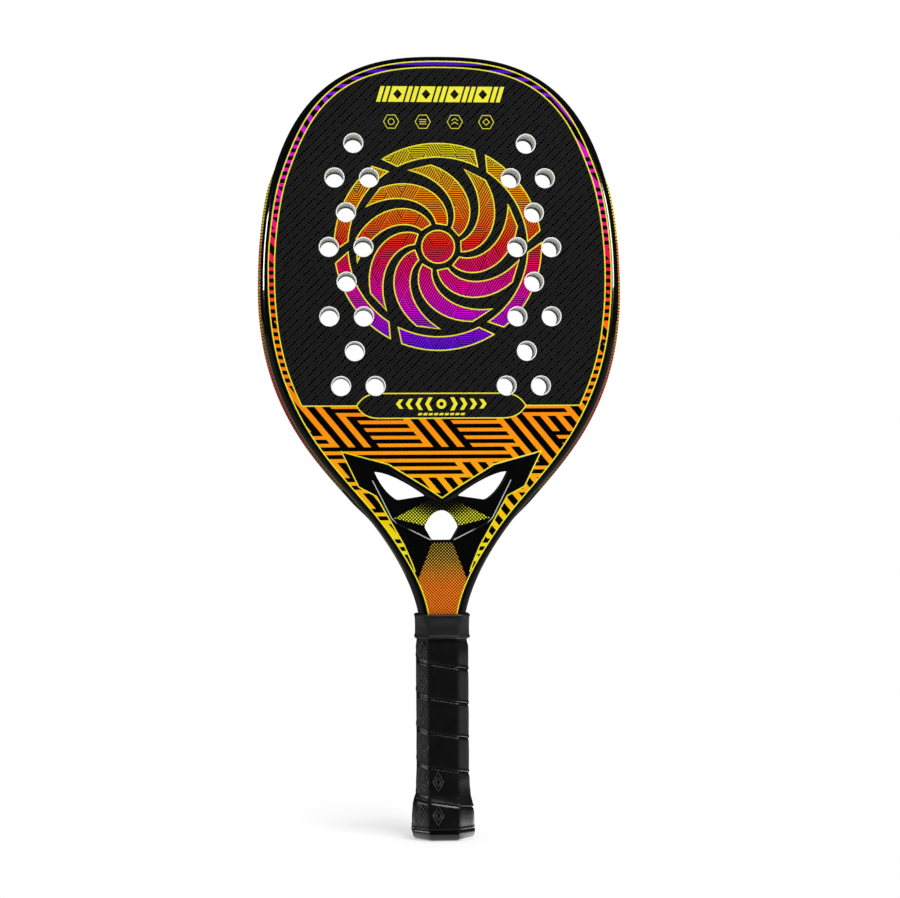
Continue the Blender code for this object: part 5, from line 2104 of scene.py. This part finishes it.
    def collar(self) -> Mesh:
        """The stretched rubber ring: a lip at each end, a waisted body and a closed mouth.

        Returns:
            The mesh.
        """
        bore = self.handle.at(self.collar_low).grown(self.collar_room)
        body = bore.grown(self.collar_wall)
        flats = body.half_width * 0.688, body.half_depth * 0.62
        outer = Octagon(body.half_width, self.collar_depth, *flats, body.soft)
        rings = [bore.ring(self.collar_low)]
        for row in range(self.collar_rows + 1):
            share = row / self.collar_rows
            height = blend(self.collar_low, self.collar_top, share)
            lip = sum(bell(share - middle, self.collar_lip, wide) for middle, wide in self.collar_lips)
            edge = bell(share, *self.collar_edge) + bell(1 - share, *self.collar_edge)
            more = lip - edge - self.collar_waist * math.sin(math.pi * share)
            ring = []
            for spot, way in body.towards(outer, ease((share - 0.45) / 0.5)).spots():
                spot = spot + way * (more + self.collar_ripple * ripple(spot, height, 90, 60))
                ring.append(Vector((spot.x, spot.y, height)))
            rings.append(ring)
        rings += [self.mouth.ring(self.collar_top), bore.ring(self.collar_seat)]
        return loft("collar", rings, closed=True, sharp=60)

    def build(self) -> list[Object]:
        """Makes and dresses the tape, its marks and the collar."""
        dark, rubber = (Ink(10, 10, 10), Ink(20, 20, 20)), (Ink(25, 25, 25), Ink(37, 37, 37))
        skin = SoftFinish("grip_polyurethane_soft", *dark, 0.27, 0.45, 0.7, 0.02, 12.0, 0.16).make()
        tape = Solid("grip_wrap", "grip_tape").finish(loft("grip_wrap", self.rings()), [skin])
        band = SoftFinish("collar_rubber_soft", *rubber, 0.42, 0.45, 0.5, 0.02, 9.0, 0.30).make()
        collar = Solid("collar", "rubber_collar").finish(self.collar(), [band])
        # The marks' tones are lighter than the tape's as a painted glint on their raised cords.
        pressed = Ink(40, 40, 40), Ink(70, 70, 70)
        emboss = SoftFinish("grip_emboss_painted_glint", *pressed, 0.24, 0.8, 0.7, 0.01).make()
        return [tape, self.marks(emboss), collar]


@dataclass
class Butt(Part):
    """The flared cap at the lower end, with its dished underside."""

    handle: Handle
    form: Octagon = Octagon(0.0200, 0.0167, 0.0092, 0.0088, 0.0022)
    edge: float = 0.0042
    edge_steps: int = 6
    rim_height: float = 0.0067
    rim_fall: float = 0.0005
    rim_inset: float = 0.0004
    flare_steps: int = 12
    skirt_top: float = 0.0380
    wall: float = 0.0015
    floor: float = 0.0060
    dish: Pairs = ((0.0005, 0.0008), (0.0045, 0.0008), (0.0066, 0.00064), (0.0075, 0.0002), (0.0079, 0.0))

    def build(self) -> list[Object]:
        """Makes and dresses the cap."""
        form = self.form
        angles = [math.atan2(spot.y, spot.x) for spot, _ in form.spots()]
        rings = []
        for radius, height in self.dish:
            rings.append([Vector((radius * math.cos(a), radius * math.sin(a), height)) for a in angles])
        for step in range(self.edge_steps + 1):
            turn = math.pi / 2 * step / self.edge_steps
            less = self.edge * (1 - math.sin(turn))
            flats = form.flat_x - less / 2, form.flat_y - less / 2
            size = Octagon(form.half_width - less, form.half_depth - less, *flats, form.soft)
            rings.append(size.ring(self.edge * (1 - math.cos(turn))))
        rings.append(form.ring(self.rim_height - self.rim_fall))
        rings.append(form.grown(-self.rim_inset).ring(self.rim_height))
        for step in range(self.flare_steps + 1):
            height = blend(self.rim_height + GAP, self.handle.flare_top, step / self.flare_steps)
            rings.append(self.handle.at(height).ring(height))
        skirt = self.handle.at(self.skirt_top)
        socket = skirt.grown(-self.wall)
        rings += [skirt.ring(self.skirt_top), socket.ring(self.skirt_top), socket.ring(self.floor)]
        mesh = loft("cap", rings)
        plastic = SoftFinish("cap_plastic_soft", Ink(2, 2, 2), Ink(6, 6, 6), 0.24, 0.7, 0.6, 0.02, 14.0, 0.08)
        return [Solid("cap", "butt_cap").finish(mesh, [plastic.make()])]


@dataclass
class HiddenParts(Part):
    """The CAD nodes that stay as they are, with a material of their own."""

    def build(self) -> list[Object]:
        """Dresses the rivet, the filler and the finishing tape."""
        steel, tape = (Ink(170, 170, 174), Ink(200, 200, 204)), (Ink(12, 12, 12), Ink(22, 22, 22))
        finishes = {
            "cap_rivet": SoftFinish("rivet_steel_brushed", *steel, 0.36, 0.5, 0.3, 0.01, 2.0, 0.01, 1.0),
            "handle_filler": FoamFinish("filler_foam_cells"),
            "finishing_tape": SoftFinish("finishing_tape_gloss", *tape, 0.3, 0.5, 0.8, 0.01),
        }
        nodes = []
        for name, finish in finishes.items():
            nodes.append(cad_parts[name])
            material = finish.make()
            for slot in nodes[-1].material_slots:
                slot.material = material
        return nodes


@dataclass
class Studio(Part):
    """The pale floor, the white surroundings, the soft lamps and the camera."""

    width: int = 900
    focal_pixels: float = 1917.2
    sensor: float = 36.0
    place: tuple[float, float, float] = (-0.0697, -1.2291, 0.2201)
    turns: tuple[float, float, float] = (3.523, 1.307, 0.37)
    floor_half: float = 6.0
    shadow_near: float = 75.0
    shadow_run: float = 105.0

    def floor(self) -> None:
        """A wide pale floor that stays near white and keeps the racket's shadow, and that glows in gloss
        alone as a painted reflection on the handle and cap.
        """
        mesh = bpy.data.meshes.new("floor")
        far = self.floor_half
        mesh.from_pydata([(-far, -far, 0), (far, -far, 0), (far, far, 0), (-far, far, 0)], [], [(0, 1, 2, 3)])
        floor = bpy.data.objects.new("floor", mesh)
        bpy.context.scene.collection.objects.link(floor)
        bench = Bench("floor_paper")
        bench.set(Base_Color=Ink(246, 246, 246), Roughness=0.9, Specular_IOR_Level=0.1)
        ray = bench.tree.nodes.new("ShaderNodeLightPath").outputs
        seen, gloss = bench.amount(ray["Is Camera Ray"]), bench.amount(ray["Is Glossy Ray"])
        x, y, _ = bench.place
        away = (x * x + y * y).apply("POWER", 0.5)
        fade = ((away - self.shadow_near) / self.shadow_run).held()
        beside = ((x.size() * 1.6 - y.size()) / away).held()
        near = ((away - 130.0) / -50.0).held()
        close = ((away - 37.0) / -9.0).held()
        # Painted reflection: in gloss alone the floor glows, brighter at the sides, on the right and close to
        # the butt, and darker on the left as painted shade.
        painted_reflection_glow = gloss * (beside * (near * ((x > 0.0) * 3.4 + 0.7) + 0.55) + close * 0.8 + 0.02)
        glow = bench.node("ShaderNodeEmission", {}, Strength=painted_reflection_glow + seen * (fade * -0.31 + 1.31))
        mixed = bench.tree.nodes.new("ShaderNodeMixShader")
        terms = (seen * (fade * 0.6 + 0.4) + gloss, bench.shader.outputs[0], glow)
        for socket, term in zip(mixed.inputs, terms):
            feed(bench.tree, socket, term)
        feed(bench.tree, bench.tree.nodes["Material Output"].inputs["Surface"], mixed.outputs[0])
        mesh.materials.append(bench.material)
        floor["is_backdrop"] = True

    def surroundings(self, level: float = 0.50, dim: float = 0.02) -> None:
        """White where the camera looks, a soft light all round, and dim but for the sides in gloss.

        Args:
            level: How strong the soft light is.
            dim: What shows in gloss away from the sides.
        """
        world = bpy.data.worlds.new("studio")
        bpy.context.scene.world = world
        world.use_nodes = True
        tree = world.node_tree
        tree.nodes.clear()
        ray = tree.nodes.new("ShaderNodeLightPath").outputs
        kinds = ("Camera", "Transmission", "Glossy")
        shown, glass, gloss = (Amount(tree, ray[f"Is {kind} Ray"]) for kind in kinds)
        split = tree.nodes.new("ShaderNodeSeparateXYZ")
        feed(tree, split.inputs[0], tree.nodes.new("ShaderNodeTexCoord").outputs["Generated"])
        beside = (Amount(tree, split.outputs[1]).size() * 2.0).rest().held()
        lit = gloss.choose(beside * 0.08 + dim, gloss * 0.0 + level)
        light = tree.nodes.new("ShaderNodeBackground")
        feed(tree, light.inputs["Strength"], shown.most(glass).most(lit))
        light.inputs["Color"].default_value = (1, 1, 1, 1)
        out = tree.nodes.new("ShaderNodeOutputWorld")
        feed(tree, out.inputs["Surface"], light.outputs[0])

    def lamp(self, name: str, place: Vector, aim: Vector, size: tuple[float, float], power: float,
             only_on: Sequence[str] = ()) -> None:
        """A soft rectangular lamp that lights everything, or shows in the gloss of some pieces alone.

        Args:
            name: The lamp's name.
            place: Where it stands.
            aim: The point that it looks at.
            size: Its width and height.
            power: Its power in watts.
            only_on: The pieces in whose gloss it shows, where it lights nothing.
        """
        data = bpy.data.lights.new(name, "AREA")
        data.shape, (data.size, data.size_y) = "RECTANGLE", size
        data.energy = power
        lamp = bpy.data.objects.new(name, data)
        lamp.location = place
        lamp.visible_diffuse, lamp.visible_glossy = not only_on, bool(only_on)
        if only_on:
            shown_on = bpy.data.collections.new(name + "_shown_on")
            for piece in only_on:
                shown_on.objects.link(bpy.data.objects[piece])
            lamp.light_linking.receiver_collection = shown_on
        lamp.rotation_euler = (aim - place).to_track_quat("-Z", "Y").to_euler()
        bpy.context.scene.collection.objects.link(lamp)

    def lamps(self) -> None:
        """A wide key from above on the right, and soft boxes that draw the lines of gloss."""
        head, butt = Vector((0, 0, 0.37)), Vector((0, 0, 0.03))
        above, left = Vector((0.60, -0.85, 1.6)), Vector((-1.44, -0.46, 0.64))
        rim, handle = ("frame_shell",), ("collar", "grip_wrap", "cap")
        self.lamp("key", above, Vector((0, 0, 0.2)), (0.9, 0.3), 20.0)
        self.lamp("left_box", left, head, (0.54, 0.32), 45.0, rim)
        self.lamp("handle_box", left, head, (0.54, 0.32), 4.0, handle[1:])
        self.lamp("right_box", Vector((0.98, -1.34, 0.66)), head, (0.42, 0.30), 36.0, rim)
        self.lamp("glint", Vector((0.93, -0.88, 1.00)), butt, (0.16, 0.16), 2.0, handle)
        self.lamp("crest", above, Vector((0, 0, 0.1)), (0.9, 0.3), 21.0, handle[:2])

    def camera(self) -> None:
        """A level camera in front of the racket, at the photograph's angle."""
        data = bpy.data.cameras.new("camera")
        data.sensor_width, data.lens = self.sensor, self.focal_pixels / self.width * self.sensor
        data.clip_start, data.clip_end = 0.05, 30.0
        camera = bpy.data.objects.new("camera", data)
        camera.location = self.place
        yaw, pitch, roll = (math.radians(turn) for turn in self.turns)
        level = Matrix.Rotation(-yaw, 3, "Z") @ Matrix.Rotation(math.pi / 2 + pitch, 3, "X")
        camera.rotation_euler = (level @ Matrix.Rotation(-roll, 3, "Z")).to_euler()
        bpy.context.scene.collection.objects.link(camera)
        bpy.context.scene.camera = camera

    def build(self) -> list[Object]:
        """Sets everything round the racket."""
        bpy.context.scene.view_settings.view_transform = "Standard"
        self.camera()
        self.floor()
        self.surroundings()
        self.lamps()
        return []


def corners() -> list[list[float]]:
    """The shown racket's box as two plain lists."""
    return [list(corner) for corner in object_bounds()]


def main() -> None:
    """Builds every sub-assembly, in order, and reports its pieces."""
    logging.basicConfig(level=logging.INFO, format="%(name)s: %(message)s", stream=sys.stdout)
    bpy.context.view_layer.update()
    outline = Outline()
    yoke = Yoke(outline)
    holes = Holes()
    handle = Handle()
    parts = (
        FrameMoulding(outline),
        Head(outline, yoke, holes, FaceArt(outline, yoke, holes)),
        Throat(outline, yoke),
        Grip(handle),
        Butt(handle),
        HiddenParts(),
        Studio(),
    )
    for part in parts:
        for piece in part.build():
            LOG.info("%s: %s, %d faces", type(part).__name__, piece.name, len(piece.data.polygons))


if __name__ == "__main__":
    main()
